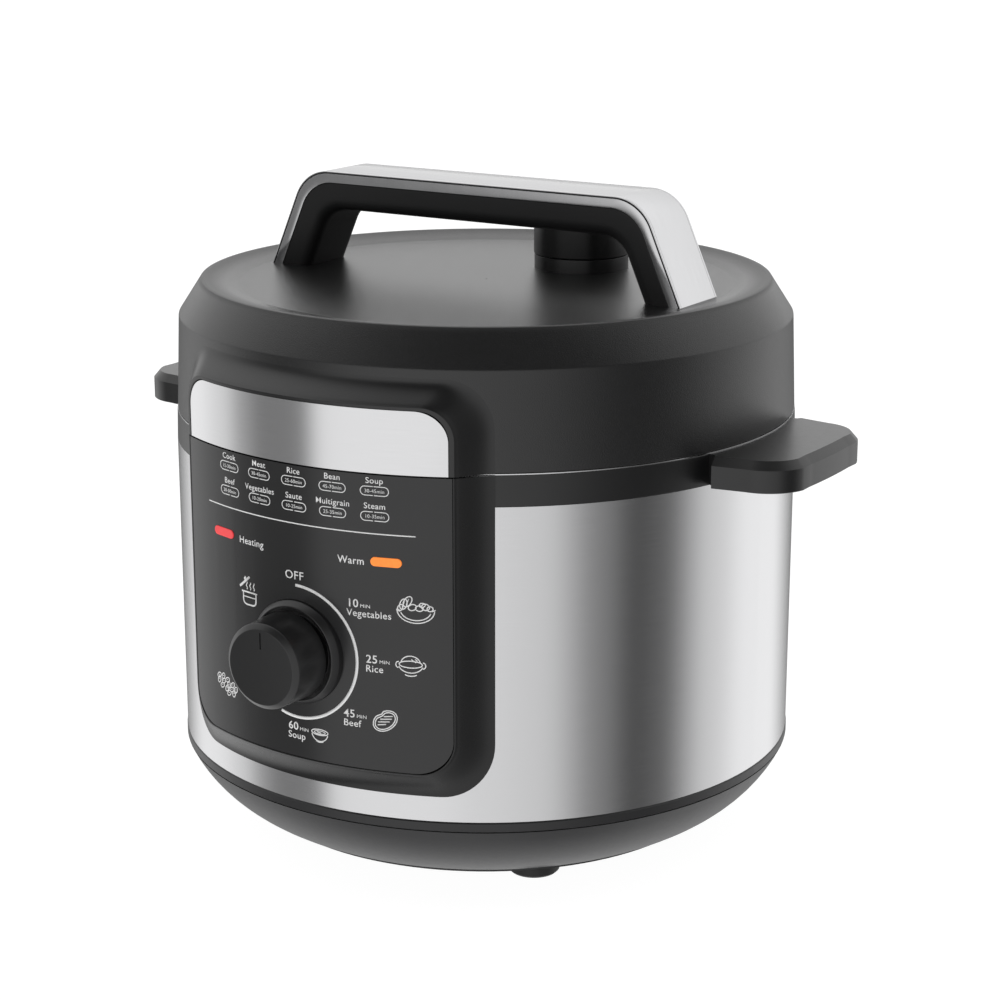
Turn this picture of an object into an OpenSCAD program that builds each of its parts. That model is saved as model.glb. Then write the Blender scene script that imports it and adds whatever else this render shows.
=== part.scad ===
// Electric pressure cooker, 5 litre, with a mechanical timer.
// Frame: +Z up, the floor at Z = 0, the control panel faces -Y.
// The origin is the centre of the footprint. Modules are drawn about the pot's axis
// and on_axis() moves them to their place.

/* [Drum] */
// Radius of the steel wrap
drum_r = 143; // [140:0.5:146]
// Height of the steel wrap
steel_h = 139; // [135:1:145]
// Height of the steel wrap's lower edge above the floor
steel_z = 41.5; // [40:0.5:44]
// Height of the handle ring above the steel
ring_h = 13.6; // [13:0.1:15]

/* [Lid] */
// Height of the lid's skirt
skirt_h = 43; // [42:0.5:46]
// Height of the chamfer above the skirt
chamfer_h = 16; // [14:0.5:18]
// Radius of the rim on top
rim_r = 130.3; // [129:0.1:132]
// Radius of the flat dish inside the rim
dish_r = 113.5; // [112:0.5:116]
// Depth of the dish below the rim
dish_depth = 3.1; // [2.5:0.1:4]
// Wall of the moulded cover
cover_t = 2.6; // [2:0.1:3]

/* [Lid handle] */
// Height of the handle's top above the dish
handle_h = 45.8; // [42:0.2:50]
// Width of the handle, front to back
handle_w = 34; // [32:1:36]
// Thickness of the handle, grip and trim together
handle_t = 18; // [16:0.5:19]
// Half length of the straight stretch on top
handle_straight = 77; // [74:0.5:80]
// Radius of the bend at each end
handle_bend_r = 20; // [18:0.5:28]
// Slope of the legs below the horizontal
leg_angle = 66.3; // [64:0.1:72]

/* [Control panel] */
// Radius of the printed face
panel_r = 148.7; // [148:0.1:149.5]
// Half angle that the face spans
panel_half = 27.4; // [27:0.1:28]
// Half angle at the foot of the frame's flank
flank_half = 34.2; // [33.5:0.1:35]
// Height of the face's lower edge above the steel's lower edge
panel_rise = 23.3; // [22:0.1:26]
// Height of the silver plate on the lid
badge_h = 27.4; // [26:0.1:28]
// Half angle that the silver plate spans
badge_half = 26.8; // [26:0.1:27]
// Height of the timer's axis above the steel's lower edge
timer_rise = 70.8; // [70:0.1:72]
// Radius of the timer knob at its skirt
knob_r = 19.2; // [18.5:0.1:20]
// Distance of the knob's face from the pot's axis
knob_face = 173.5; // [172:0.5:175]

/* [Side handles] */
// Reach of the side handles from the pot's axis
side_reach = 176; // [174:1:180]
// Half width of a side handle near its tip
side_half = 42; // [38:1:44]
// Radius of its corners
side_corner = 18; // [14:1:20]

/* [Cooking vessel] */
// Outer radius of the inner pot
pot_r = 110; // [109:0.5:110.5]
// Wall of the inner pot
pot_t = 1.6; // [1.2:0.1:2]
// Number of bayonet teeth
bayonet_n = 6; // [6]

/* [Steam valve] */
// Place of the valve across the lid
valve_x = 19.5; // [18:0.5:21]
// Place of the valve behind the handle
valve_y = 52.8; // [51:0.5:54]
// Radius of the valve cap
valve_r = 22.5; // [21:0.5:23]

/* [Hidden] */

round_fn = 120;
small_fn = 48;
eps = 0.01;
fit_gap = 0.1;

// Heights above the floor
base_z = 4.5;
base_t = 2.5;
trim_h = 4.9;
trim_z = steel_z - trim_h;
ring_z = steel_z + steel_h;
seam_z = ring_z + ring_h;
seam_gap = 0.5;
skirt_z = seam_z + seam_gap;
shoulder_z = seam_z + skirt_h;
rim_z = shoulder_z + chamfer_h;
dish_z = rim_z - dish_depth;
panel_z = steel_z + panel_rise;
badge_z = seam_z + badge_h;
timer_z = steel_z + timer_rise;

// The base bowl is an arc
bowl_r = 62.6;
bowl_cx = drum_r - 56.6;
bowl_cz = trim_z + 26.55;
base_floor_r = bowl_cx + 24;

// Steel wrap
steel_t = 0.8;
window_half = 30;
window_w = 2 * drum_r * sin(window_half);
window_drop = 4;
skirt_r = drum_r - 0.6;
shoulder_r = drum_r - 2.3;

// Panel and frame
panel_t = 1.45;
frame_lip = 0.4;
frame_back_r = drum_r - steel_t;
frame_foot = 12;
frame_lap = 0.05;
panel_corner = 15;
badge_corner = 13;
frame_corner = 22;
panel_screw_angle = panel_half - 7;
panel_screw_z = [panel_z + 14, ring_z - 14];
panel_screw_l = 4.6;
lens_angle = 16.6;
lens_rise = 44.7;
lens_z = timer_z + lens_rise;
lens_w = 13.5;
lens_h = 3.8;

// Vessel: heights of the well, the teeth and the pot
well_r = pot_r + 3.2;
well_t = 1.2;
well_z = 20.5;
well_bottom_t = 1.5;
flange_z = seam_z - 10.2;
flange_r = 130;
tooth_r = 121.5;
tooth_z = seam_z - 4.2;
tooth_t = 2.5;
tooth_span = 26;
bayonet_wall_r = 127.8;
lug_r = 126;
lug_z = flange_z + 1.5;
lug_t = 3;
lug_span = 24;
lug_lead = 30;
lid_wall_r = 120;
lid_wall_t = 1.6;
inner_lid_z = seam_z + 4.8;
inner_lid_t = 2;
plate_top = 37;
pot_base = plate_top + 0.2;
pot_floor_t = 2;
pot_corner = 12;
pot_lip_r = 116.5;
pot_lip_z = flange_z + 0.4;
pot_lip_t = 1.5;

// Sensor in the middle of the heating plate
sensor_r = 15.5;
sensor_cap_z = 33.5;
stem_r = 5;
stem_z = 14;
clip_r = 8;
clip_t = 1.5;
bracket_r = 29.5;
spring_r = 8.5;
spring_wire = 0.55;
spring_turns = 4;
spring_sides = 8;
spring_steps = 64;

// Heater
plate_r = 86;
plate_z = 27;
plate_hole = 17;
heater_r = 60;
heater_tube_r = 4.6;
terminal_x = 20;
terminal_y = 56;
terminal_r = 3.5;
terminal_hole = 6;
fuse_angle = 45;
fuse_pitch = 90;

// Feet and screws
foot_r = 11.5;
foot_pitch = 99;
base_screw_pitch = foot_pitch - 10;
foot_angles = [45, 135, 225, 315];
screw_r = 1.9;
head_r = 3.6;
head_t = 2.2;
ring_screw_angles = [50, 90, 130, 230, 270, 310];
ring_screw_pitch = flange_r - 3;
ledge_z = flange_z - well_t;
ledge_t = 3;

// Timer
timer_w = 42;
timer_h = 38;
timer_front = 143;
timer_back = 120.5;
ear_w = 10;
ear_h = 12;
ear_t = 2;
ear_x = timer_w / 2 + ear_w / 2;
bush_top = timer_front + 3.5;
shaft_r = 3;
shaft_fit = 0.05;
shaft_back = 126;
collar_r = 22.9;
collar_front = 152.6;
collar_back = panel_r - 3.4;
knob_back = 153.8;
knob_edge_r = knob_r - 0.5;
knob_face_r = 16.4;
knob_chamfer = 2;

// Power inlet at the back
inlet_z = 64;
inlet_w = 27.5;
inlet_h = 19.5;
inlet_flange_w = 34;
inlet_flange_h = 26;
inlet_front = 145.6;
inlet_depth = 20;
socket_w = 24;
socket_h = 16;
socket_depth = 17;
blade_w = 2;
blade_h = 4;
blade_len = 23;
blade_tail = 6;
blade_places = [[-7, -2], [0, 2], [7, -2]];

// Valves
pipe_r = 3.2;
pipe_bore = 1.6;
pipe_top = dish_z + 12;
cap_z = dish_z + 6.8;
cap_h = 23.8;
seat_r = valve_r - 0.3;
seat_h = 6.4;
weight_r = 9;
weight_z = dish_z + 9;
weight_h = 16;
float_x = -3;
float_y = 87;
float_r = 2.6;

// Steps of the lid handle's trim: the plate, the groove under it, the strips and their depth
trim_top = 0.8;
trim_under = 1.6;
trim_side = 1.2;
trim_deep = 5.2;
bend_slack = 0.7;

// Bores in the lid for the screws of the inner lid and of the handle
lid_boss_r = 92;
lid_boss_angles = [20, 160, 200, 340];
handle_screw_x = 97;
handle_screw_y = 8;

// The footprint's centre lies half way between the knob's face and the inlet
pot_axis_y = (knob_face - inlet_front) / 2;

// ---------- helpers ----------

module on_axis() {
    translate([0, pot_axis_y, 0])
        children();
}

module ring(r_in, r_out, z, h) {
    translate([0, 0, z])
        rotate_extrude($fn = round_fn)
            translate([r_in, 0])
                square([r_out - r_in, h]);
}

module disc(r, z, h, fn = small_fn) {
    translate([0, 0, z])
        cylinder(r = r, h = h, $fn = fn);
}

// A solid of turning whose axis points to the front at the timer's height
module facing_front(z = timer_z) {
    translate([0, 0, z])
        rotate([90, 0, 0])
            children();
}

module polar(angle, r) {
    rotate([0, 0, angle])
        translate([0, -r, 0])
            children();
}

// A pan-head screw that points up, its head's underside at z
module screw_up(z, length) {
    disc(screw_r - fit_gap, z, length, small_fn);
    disc(head_r, z - head_t, head_t, small_fn);
}

function arc_points(cx, cy, r, a0, a1, n) =
    [for (i = [0 : n]) [cx + r * cos(a0 + (a1 - a0) * i / n), cy + r * sin(a0 + (a1 - a0) * i / n)]];

function reversed(list) = [for (i = [len(list) - 1 : -1 : 0]) list[i]];

// A point in plan at an angle measured from the front
function plan(r, a) = [r * sin(a), -r * cos(a)];

// A round-cornered outline of width w between heights z0 and z1, seen from the front
module front_outline(w, z0, z1, corner_low, corner_high) {
    low = max(corner_low, eps);
    high = max(corner_high, eps);
    translate([-w / 2, z0 + low])
        square([w, z1 - z0 - low - high]);
    translate([-w / 2 + low, z0])
        square([w - 2 * low, low + eps]);
    translate([-w / 2 + high, z1 - high - eps])
        square([w - 2 * high, high + eps]);
    for (s = [-1, 1]) {
        translate([s * (w / 2 - low), z0 + low])
            circle(r = low, $fn = small_fn);
        translate([s * (w / 2 - high), z1 - high])
            circle(r = high, $fn = small_fn);
    }
}

module front_prism(w, z0, z1, corner_low, corner_high) {
    rotate([90, 0, 0])
        linear_extrude(panel_r + 20)
            front_outline(w, z0, z1, corner_low, corner_high);
}

// The boss in plan: a face of the given radius, then a hollow flank down to the drum
module boss_plan(face_r, half, foot_half, back_r) {
    steps = 10;
    rise = face_r - drum_r;
    left = [for (i = [0 : steps])
        plan(drum_r - 0.4 + (rise + 0.4) * pow(i / steps, 2), -foot_half + (foot_half - half) * i / steps)];
    face = [for (i = [1 : 39]) plan(face_r, -half + 2 * half * i / 40)];
    right = [for (p = reversed(left)) [-p[0], p[1]]];
    back = [for (i = [0 : 20]) plan(back_r, foot_half - 2 * foot_half * i / 20)];
    polygon(concat(left, face, right, back));
}

// ---------- base ----------

module base_pan() {
    foot_boss_r = foot_r - 3;
    foot_boss_h = 8;
    color([0.14, 0.14, 0.15])
        difference() {
            union() {
                rotate_extrude($fn = round_fn)
                    intersection() {
                        difference() {
                            translate([bowl_cx, bowl_cz])
                                circle(r = bowl_r, $fn = round_fn);
                            translate([bowl_cx, bowl_cz])
                                circle(r = bowl_r - base_t, $fn = round_fn);
                        }
                        translate([bowl_cx, base_z])
                            square([drum_r, trim_z - base_z]);
                    }
                disc(base_floor_r, base_z, base_t, round_fn);
                for (a = foot_angles)
                    polar(a, foot_pitch)
                        disc(foot_boss_r, base_z, foot_boss_h, small_fn);
            }
            for (a = foot_angles)
                polar(a, foot_pitch)
                    disc(screw_r, base_z - 1, foot_boss_h + 2, small_fn);
            for (a = foot_angles)
                polar(a + 45, base_screw_pitch)
                    disc(screw_r, base_z - 1, base_t + 2, small_fn);
        }
}

module lower_trim_ring() {
    lip = 3.5;
    bevel = 0.7;
    back_r = drum_r - 4;
    outer_r = drum_r + 0.3;
    tuck_r = drum_r - steel_t - fit_gap;
    color([0.2, 0.2, 0.21])
        rotate_extrude($fn = round_fn)
            polygon([
                [back_r, trim_z],
                [outer_r - bevel, trim_z],
                [outer_r, trim_z + bevel],
                [outer_r, steel_z - bevel],
                [outer_r - bevel, steel_z],
                [tuck_r, steel_z],
                [tuck_r, steel_z + lip],
                [back_r + 1, steel_z + lip],
                [back_r, steel_z]
            ]);
}

module rubber_feet() {
    color([0.08, 0.08, 0.08])
        for (a = foot_angles)
            polar(a, foot_pitch)
                difference() {
                    rotate_extrude($fn = small_fn)
                        polygon([[0, 0], [foot_r - 1, 0], [foot_r, 1], [foot_r, base_z], [0, base_z]]);
                    disc(head_r + 0.3, -eps, head_t + 0.2, small_fn);
                    disc(screw_r, 0, base_z + 1, small_fn);
                }
}

module foot_screws() {
    color([0.75, 0.75, 0.77])
        for (a = foot_angles)
            polar(a, foot_pitch)
                screw_up(head_t + 0.1, 8);
}

module base_screws() {
    color([0.75, 0.75, 0.77])
        for (a = foot_angles)
            polar(a + 45, base_screw_pitch)
                screw_up(base_z, well_z - base_z);
}

// ---------- drum ----------

module steel_wrap() {
    color([0.78, 0.78, 0.79])
        difference() {
            ring(drum_r - steel_t, drum_r, steel_z, steel_h);
            front_prism(window_w, panel_z - window_drop, ring_z + 5, panel_corner, 0);
            translate([-inlet_w / 2 - 0.2, drum_r - 10, inlet_z - inlet_h / 2 - 0.2])
                cube([inlet_w + 0.4, 20, inlet_h + 0.4]);
        }
}

module side_handle_plan(shrink) {
    root_x = drum_r - 9;
    root_half = side_half + 3;
    corner = side_corner - shrink;
    tip_x = side_reach - side_corner;
    tip_y = side_half - side_corner;
    bulge = side_half - shrink;
    difference() {
        union() {
            polygon([
                [root_x, -root_half + shrink],
                [tip_x, -bulge],
                [tip_x + corner, -tip_y],
                [tip_x + corner, tip_y],
                [tip_x, bulge],
                [root_x, root_half - shrink]
            ]);
            for (s = [-1, 1])
                translate([tip_x, s * tip_y])
                    circle(r = corner, $fn = small_fn);
        }
        circle(r = drum_r - 6, $fn = round_fn);
    }
}

module handle_ring() {
    bevel = 3.6;
    steps = 4;
    finger_depth = 6;
    finger_w = 22;
    finger_margin = 12;
    tuck_h = 8;
    tuck_r = drum_r - steel_t - fit_gap;
    wall_back_r = drum_r - 4;
    inner_r = flange_r + 1;
    ledge_r = well_r + 7;
    color([0.13, 0.13, 0.14])
        difference() {
            union() {
                rotate_extrude($fn = round_fn)
                    polygon([
                        [drum_r, ring_z],
                        [skirt_r + 0.2, seam_z],
                        [inner_r, seam_z],
                        [inner_r, ledge_z],
                        [ledge_r, ledge_z],
                        [ledge_r, ledge_z - ledge_t],
                        [wall_back_r, ledge_z - ledge_t],
                        [wall_back_r, ring_z - tuck_h],
                        [tuck_r, ring_z - tuck_h],
                        [tuck_r, ring_z]
                    ]);
                for (s = [-1, 1])
                    mirror([s < 0 ? 1 : 0, 0, 0]) {
                        translate([0, 0, ring_z])
                            linear_extrude(ring_h - bevel)
                                side_handle_plan(0);
                        for (i = [1 : steps])
                            translate([0, 0, seam_z - bevel + (i - 1) * bevel / steps])
                                linear_extrude(bevel / steps)
                                    side_handle_plan(bevel * (1 - cos(90 * i / steps)) * 0.85);
                    }
            }
            for (s = [-1, 1])
                translate([s * (drum_r + 17) - finger_w / 2, -side_half + finger_margin, ring_z - eps])
                    cube([finger_w, 2 * (side_half - finger_margin), finger_depth]);
            for (a = ring_screw_angles)
                polar(a, ring_screw_pitch)
                    disc(screw_r, ledge_z - ledge_t - 1, ledge_t + 2, small_fn);
        }
}

module ring_screws() {
    color([0.75, 0.75, 0.77])
        for (a = ring_screw_angles)
            polar(a, ring_screw_pitch)
                screw_up(ledge_z - ledge_t, ledge_t + well_t);
}

// ---------- control panel ----------

module panel_frame() {
    face_r = panel_r + 0.2;
    foot_z = panel_z - frame_foot;
    top_z = seam_z - 0.2;
    width = 2 * drum_r * sin(flank_half) + 2;
    window_fit = 0.3;
    opening = 4;
    color([0.12, 0.12, 0.13])
        difference() {
            intersection() {
                translate([0, 0, foot_z])
                    linear_extrude(top_z - foot_z)
                        boss_plan(face_r, panel_half + frame_lip, flank_half, frame_back_r);
                rotate_extrude($fn = round_fn)
                    polygon(concat(
                        [[frame_back_r - 8, foot_z]],
                        [for (i = [0 : 8]) [
                            drum_r - 0.2 + (face_r + 0.3 - drum_r) * pow(i / 8, 2),
                            foot_z + (frame_foot - 1.5) * i / 8]],
                        [[face_r + 1, panel_z - 1.5], [face_r + 1, top_z], [frame_back_r - 8, top_z]]
                    ));
                front_prism(width, foot_z, top_z + frame_corner + 1, frame_corner, 0);
            }
            // it laps over the steel and the ring, all round a tongue in the steel's window
            difference() {
                disc(drum_r + frame_lap, foot_z - 1, top_z - foot_z + 2, round_fn);
                front_prism(window_w - 2 * window_fit, panel_z - window_drop + window_fit, ring_z - fit_gap,
                    panel_corner, 0);
            }
            // seat of the printed face
            intersection() {
                ring(panel_r - panel_t - fit_gap, panel_r + 5, panel_z, seam_z);
                front_prism(2 * panel_r * sin(panel_half) + 0.2, panel_z - fit_gap, seam_z + 20, panel_corner, 0);
            }
            // opening for the timer, with a recess behind for its ears
            translate([-timer_w / 2 - opening, -panel_r - 5, timer_z - timer_h / 2 - opening - 1])
                cube([timer_w + 2 * opening, 30, timer_h + 2 * opening + 2]);
            translate([-timer_w / 2 - ear_w - 1, -timer_front - fit_gap, timer_z - ear_h / 2 - 1])
                cube([timer_w + 2 * ear_w + 2, 20, ear_h + 2]);
            for (s = [-1, 1])
                translate([s * ear_x, 0, 0])
                    facing_front()
                        cylinder(r = screw_r, h = panel_r - panel_t - 2.2, $fn = small_fn);
            // openings for the lamps
            for (s = [-1, 1])
                polar(s * lens_angle, 0)
                    facing_front(lens_z)
                        cylinder(r = lens_w / 2 + 1, h = panel_r + 5, $fn = small_fn);
            for (s = [-1, 1])
                for (z = panel_screw_z)
                    polar(s * panel_screw_angle, 0)
                        facing_front(z)
                            cylinder(r = screw_r, h = panel_r, $fn = small_fn);
        }
}

// They hold the printed face from behind
module panel_screws() {
    color([0.75, 0.75, 0.77])
        for (s = [-1, 1])
            for (z = panel_screw_z)
                polar(s * panel_screw_angle, 0)
                    facing_front(z) {
                        translate([0, 0, frame_back_r - head_t - fit_gap])
                            cylinder(r = head_r, h = head_t, $fn = small_fn);
                        translate([0, 0, frame_back_r - head_t])
                            cylinder(r = screw_r - fit_gap, h = panel_screw_l + head_t, $fn = small_fn);
                    }
}

module lens_shape(grow) {
    half = lens_w / 2 - lens_h / 2;
    square([2 * half, lens_h + 2 * grow], center = true);
    for (s = [-1, 1])
        translate([s * half, 0])
            circle(r = lens_h / 2 + grow, $fn = small_fn);
}

module lens_bar(side, from_r, to_r, grow) {
    polar(side * lens_angle, 0)
        facing_front(lens_z)
            translate([0, 0, from_r])
                linear_extrude(to_r - from_r)
                    lens_shape(grow);
}

module control_panel() {
    color([0.27, 0.27, 0.28])
        difference() {
            intersection() {
                ring(panel_r - panel_t, panel_r, panel_z, seam_z - 0.2 - panel_z);
                front_prism(2 * panel_r * sin(panel_half), panel_z, seam_z + 20, panel_corner, 0);
            }
            facing_front()
                cylinder(r = collar_r + fit_gap, h = panel_r + 5, $fn = round_fn);
            for (s = [-1, 1])
                lens_bar(s, panel_r - 5, panel_r + 5, fit_gap);
        }
}

module heating_lens() {
    color([0.94, 0.31, 0.33])
        lens_bar(-1, panel_r - 5.5, panel_r + 0.3, 0);
}

module warm_lens() {
    color([1.0, 0.59, 0.24])
        lens_bar(1, panel_r - 5.5, panel_r + 0.3, 0);
}

module indicator_lamps() {
    bulb_r = 2.6;
    bulb_l = 13;
    holder_r = 4.2;
    holder_l = 6;
    color([0.9, 0.85, 0.7])
        for (s = [-1, 1])
            polar(s * lens_angle, 0)
                facing_front(lens_z)
                    translate([0, 0, panel_r - 20]) {
                        cylinder(r = bulb_r, h = bulb_l, $fn = small_fn);
                        translate([0, 0, -holder_l / 2])
                            cylinder(r = holder_r, h = holder_l, $fn = small_fn);
                    }
}

module knob_collar() {
    hole_r = shaft_r + 1.5;
    wall = 3.2;
    color([0.1, 0.1, 0.11])
        facing_front()
            rotate_extrude($fn = round_fn)
                polygon([
                    [hole_r, bush_top + fit_gap],
                    [collar_r - wall, bush_top + fit_gap],
                    [collar_r - wall, collar_back],
                    [collar_r, collar_back],
                    [collar_r, panel_r + 0.6],
                    [collar_r - 1.4, collar_front],
                    [hole_r, collar_front]
                ]);
}

module timer_unit() {
    bush_r = 5;
    tab_w = 6.3;
    tab_t = 0.8;
    tab_l = 8;
    tab_pitch = 12;
    color([0.86, 0.84, 0.78])
        difference() {
            union() {
                translate([-timer_w / 2, -timer_front, timer_z - timer_h / 2])
                    cube([timer_w, timer_front - timer_back, timer_h]);
                translate([-timer_w / 2 - ear_w, -timer_front, timer_z - ear_h / 2])
                    cube([timer_w + 2 * ear_w, ear_t, ear_h]);
                facing_front()
                    translate([0, 0, timer_front])
                        cylinder(r = bush_r, h = bush_top - timer_front, $fn = small_fn);
                for (i = [-1 : 1])
                    translate([i * tab_pitch - tab_w / 2, -timer_back - tab_l, timer_z - timer_h / 2 - tab_l])
                        cube([tab_w, tab_t, tab_l + eps]);
            }
            facing_front()
                translate([0, 0, shaft_back - 0.5])
                    cylinder(r = shaft_r + shaft_fit, h = 30, $fn = round_fn);
            for (s = [-1, 1])
                translate([s * ear_x, 0, 0])
                    facing_front()
                        translate([0, 0, timer_front - ear_t - 1])
                            cylinder(r = screw_r, h = ear_t + 2, $fn = small_fn);
        }
}

module timer_screws() {
    color([0.75, 0.75, 0.77])
        for (s = [-1, 1])
            translate([s * ear_x, 0, 0])
                facing_front() {
                    translate([0, 0, timer_front - ear_t])
                        cylinder(r = screw_r - fit_gap, h = ear_t + 1, $fn = small_fn);
                    translate([0, 0, timer_front - ear_t - head_t])
                        cylinder(r = head_r, h = head_t, $fn = small_fn);
                }
}

module timer_shaft() {
    color([0.8, 0.8, 0.82])
        facing_front()
            translate([0, 0, shaft_back])
                cylinder(r = shaft_r, h = knob_face - 6 - shaft_back, $fn = round_fn);
}

module timer_knob() {
    wall = 2.2;
    hub_r = 5.5;
    pointer_w = 0.7;
    pointer_l = 7.2;
    pointer_depth = 0.5;
    color([0.17, 0.17, 0.18])
        facing_front()
            difference() {
                rotate_extrude($fn = round_fn)
                    polygon([
                        [0, knob_back],
                        [knob_r, knob_back],
                        [knob_edge_r, knob_face - knob_chamfer],
                        [knob_face_r, knob_face],
                        [0, knob_face]
                    ]);
                difference() {
                    translate([0, 0, knob_back - 1])
                        cylinder(r = knob_edge_r - wall, h = knob_face - 4 - knob_back, $fn = round_fn);
                    cylinder(r = hub_r, h = knob_face, $fn = small_fn);
                }
                translate([0, 0, knob_back - 1])
                    cylinder(r = shaft_r, h = knob_face - 5 - knob_back, $fn = round_fn);
                translate([-pointer_w / 2, knob_face_r - pointer_l - 1.5, knob_face - pointer_depth])
                    cube([pointer_w, pointer_l, 1]);
            }
}

// ---------- vessel ----------

module outer_pot() {
    color([0.7, 0.7, 0.72])
        difference() {
            union() {
                ring(well_r, well_r + well_t, well_z, flange_z - well_z);
                ring(well_r, flange_r, flange_z - well_t, well_t);
                ring(bracket_r + fit_gap, well_r + well_t, well_z, well_bottom_t);
            }
            for (s = [-1, 1])
                translate([s * terminal_x, terminal_y, 0])
                    disc(terminal_hole, well_z - 1, 5, small_fn);
            for (a = ring_screw_angles)
                polar(a, ring_screw_pitch)
                    disc(screw_r, flange_z - well_t - 1, well_t + 2, small_fn);
        }
}

module bayonet_ring() {
    pitch = 360 / bayonet_n;
    wall_top = tooth_z + tooth_t + 0.6;
    color([0.72, 0.72, 0.74])
        difference() {
            union() {
                ring(bayonet_wall_r, flange_r, flange_z, wall_top - flange_z);
                ring(tooth_r, bayonet_wall_r + 0.5, tooth_z, tooth_t);
            }
            for (i = [0 : bayonet_n - 1])
                rotate([0, 0, (i + 0.5) * pitch - 90 - (pitch - tooth_span) / 2])
                    rotate_extrude(angle = pitch - tooth_span, $fn = round_fn)
                        translate([tooth_r - 2, tooth_z - 1])
                            square([bayonet_wall_r - tooth_r + 2, tooth_t + 2]);
        }
}

module inner_pot() {
    outer = concat(
        [[0, pot_base]],
        arc_points(pot_r - pot_corner, pot_base + pot_corner, pot_corner, -90, 0, 10),
        [[pot_r, pot_lip_z], [pot_lip_r, pot_lip_z], [pot_lip_r, pot_lip_z + pot_lip_t]]
    );
    inner = concat(
        [[0, pot_base + pot_floor_t]],
        arc_points(pot_r - pot_corner, pot_base + pot_corner, pot_corner - pot_t, -90, 0, 10),
        [[pot_r - pot_t, pot_lip_z + pot_lip_t]]
    );
    color([0.8, 0.8, 0.82])
        rotate_extrude($fn = round_fn)
            polygon(concat(outer, reversed(inner)));
}

module heating_plate() {
    leg_pitch = 74;
    color([0.75, 0.75, 0.76])
        difference() {
            union() {
                rotate_extrude($fn = round_fn)
                    polygon([
                        [plate_hole, plate_z],
                        [plate_r - 2, plate_z],
                        [plate_r, plate_z + 2],
                        [plate_r - 3, plate_top - 2],
                        [plate_r - 8, plate_top],
                        [plate_hole, plate_top]
                    ]);
                ring(heater_r - heater_tube_r, heater_r + heater_tube_r, plate_z - 4, 4 + eps);
                for (a = [60, 180, 300])
                    polar(a, leg_pitch)
                        disc(4, well_z + well_bottom_t, plate_z - well_z - well_bottom_t + eps, small_fn);
            }
            for (s = [-1, 1])
                translate([s * terminal_x, terminal_y, 0])
                    disc(terminal_r, plate_z - 6, 8, small_fn);
        }
}

module heater_terminals() {
    pin_z = 15;
    tab = [6.2, 0.8, 7];
    color([0.85, 0.8, 0.6])
        for (s = [-1, 1])
            translate([s * terminal_x, terminal_y, 0]) {
                disc(terminal_r, pin_z, plate_z + 2 - pin_z, small_fn);
                translate([-tab[0] / 2, -tab[1] / 2, pin_z - tab[2]])
                    cube([tab[0], tab[1], tab[2] + eps]);
            }
}

module elastic_disc() {
    inner_r = 34;
    outer_r = 78;
    inner_z = 16.4;
    rise = 2.6;
    disc_t = 1.4;
    color([0.62, 0.62, 0.64])
        difference() {
            rotate_extrude($fn = round_fn)
                polygon([
                    [inner_r, inner_z],
                    [outer_r, inner_z + rise],
                    [outer_r, inner_z + rise + disc_t],
                    [inner_r, inner_z + disc_t]
                ]);
            for (s = [-1, 1])
                translate([s * terminal_x, terminal_y, 0])
                    disc(terminal_hole, 10, 14, small_fn);
        }
}

module pressure_switch() {
    body = [24, 12, 7];
    place_x = -52;
    plunger_x = -42;
    plunger_r = 2;
    plunger_h = 2.5;
    color([0.8, 0.8, 0.75]) {
        translate([place_x, -body[1] / 2, base_z + base_t])
            cube(body);
        translate([plunger_x, 0, 0])
            disc(plunger_r, base_z + base_t + body[2] - eps, plunger_h, small_fn);
    }
}

module thermal_fuse() {
    sleeve_r = 2;
    sleeve_l = 24;
    clip = [3, 6, 4.6];
    clip_pitch = 12;
    color([0.85, 0.85, 0.85])
        polar(fuse_angle, fuse_pitch) {
            translate([-sleeve_l / 2, 0, well_z - sleeve_r - 0.2])
                rotate([0, 90, 0])
                    cylinder(r = sleeve_r, h = sleeve_l, $fn = small_fn);
            for (s = [-1, 1])
                translate([s * clip_pitch / 2 - clip[0] / 2, -clip[1] / 2, well_z - clip[2]])
                    cube(clip);
        }
}

module sensor_bracket() {
    color([0.66, 0.66, 0.68])
        difference() {
            disc(bracket_r, well_z, well_bottom_t, round_fn);
            disc(stem_r + 0.3, well_z - 1, 5, round_fn);
        }
}

module thermostat_sensor() {
    color([0.8, 0.8, 0.8])
        rotate_extrude($fn = round_fn)
            polygon([
                [0, stem_z],
                [clip_r, stem_z],
                [clip_r, stem_z + clip_t],
                [stem_r, stem_z + clip_t],
                [stem_r, sensor_cap_z],
                [sensor_r, sensor_cap_z],
                [sensor_r, plate_top - 0.6],
                [sensor_r - 0.6, plate_top],
                [0, plate_top]
            ]);
}

// A coil swept round the sensor's stem: rings of points, two end caps
function coil_point(step, side) =
    let (
        turn = 360 * spring_turns * step / spring_steps,
        around = 360 * side / spring_sides,
        rise = spring_wire + (sensor_cap_z - well_z - well_bottom_t - 2 * spring_wire) * step / spring_steps,
        out = spring_r + spring_wire * cos(around)
    )
    [out * cos(turn), out * sin(turn), well_z + well_bottom_t + rise + spring_wire * sin(around)];

module sensor_spring() {
    n = spring_sides;
    points = [for (i = [0 : spring_steps]) for (j = [0 : n - 1]) coil_point(i, j)];
    sides = [for (i = [0 : spring_steps - 1]) for (j = [0 : n - 1])
        [i * n + j, i * n + (j + 1) % n, (i + 1) * n + (j + 1) % n, (i + 1) * n + j]];
    start_cap = [[for (j = [n - 1 : -1 : 0]) j]];
    end_cap = [[for (j = [0 : n - 1]) spring_steps * n + j]];
    color([0.7, 0.7, 0.72])
        polyhedron(points = points, faces = concat(sides, start_cap, end_cap));
}

// ---------- power inlet ----------

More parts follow.
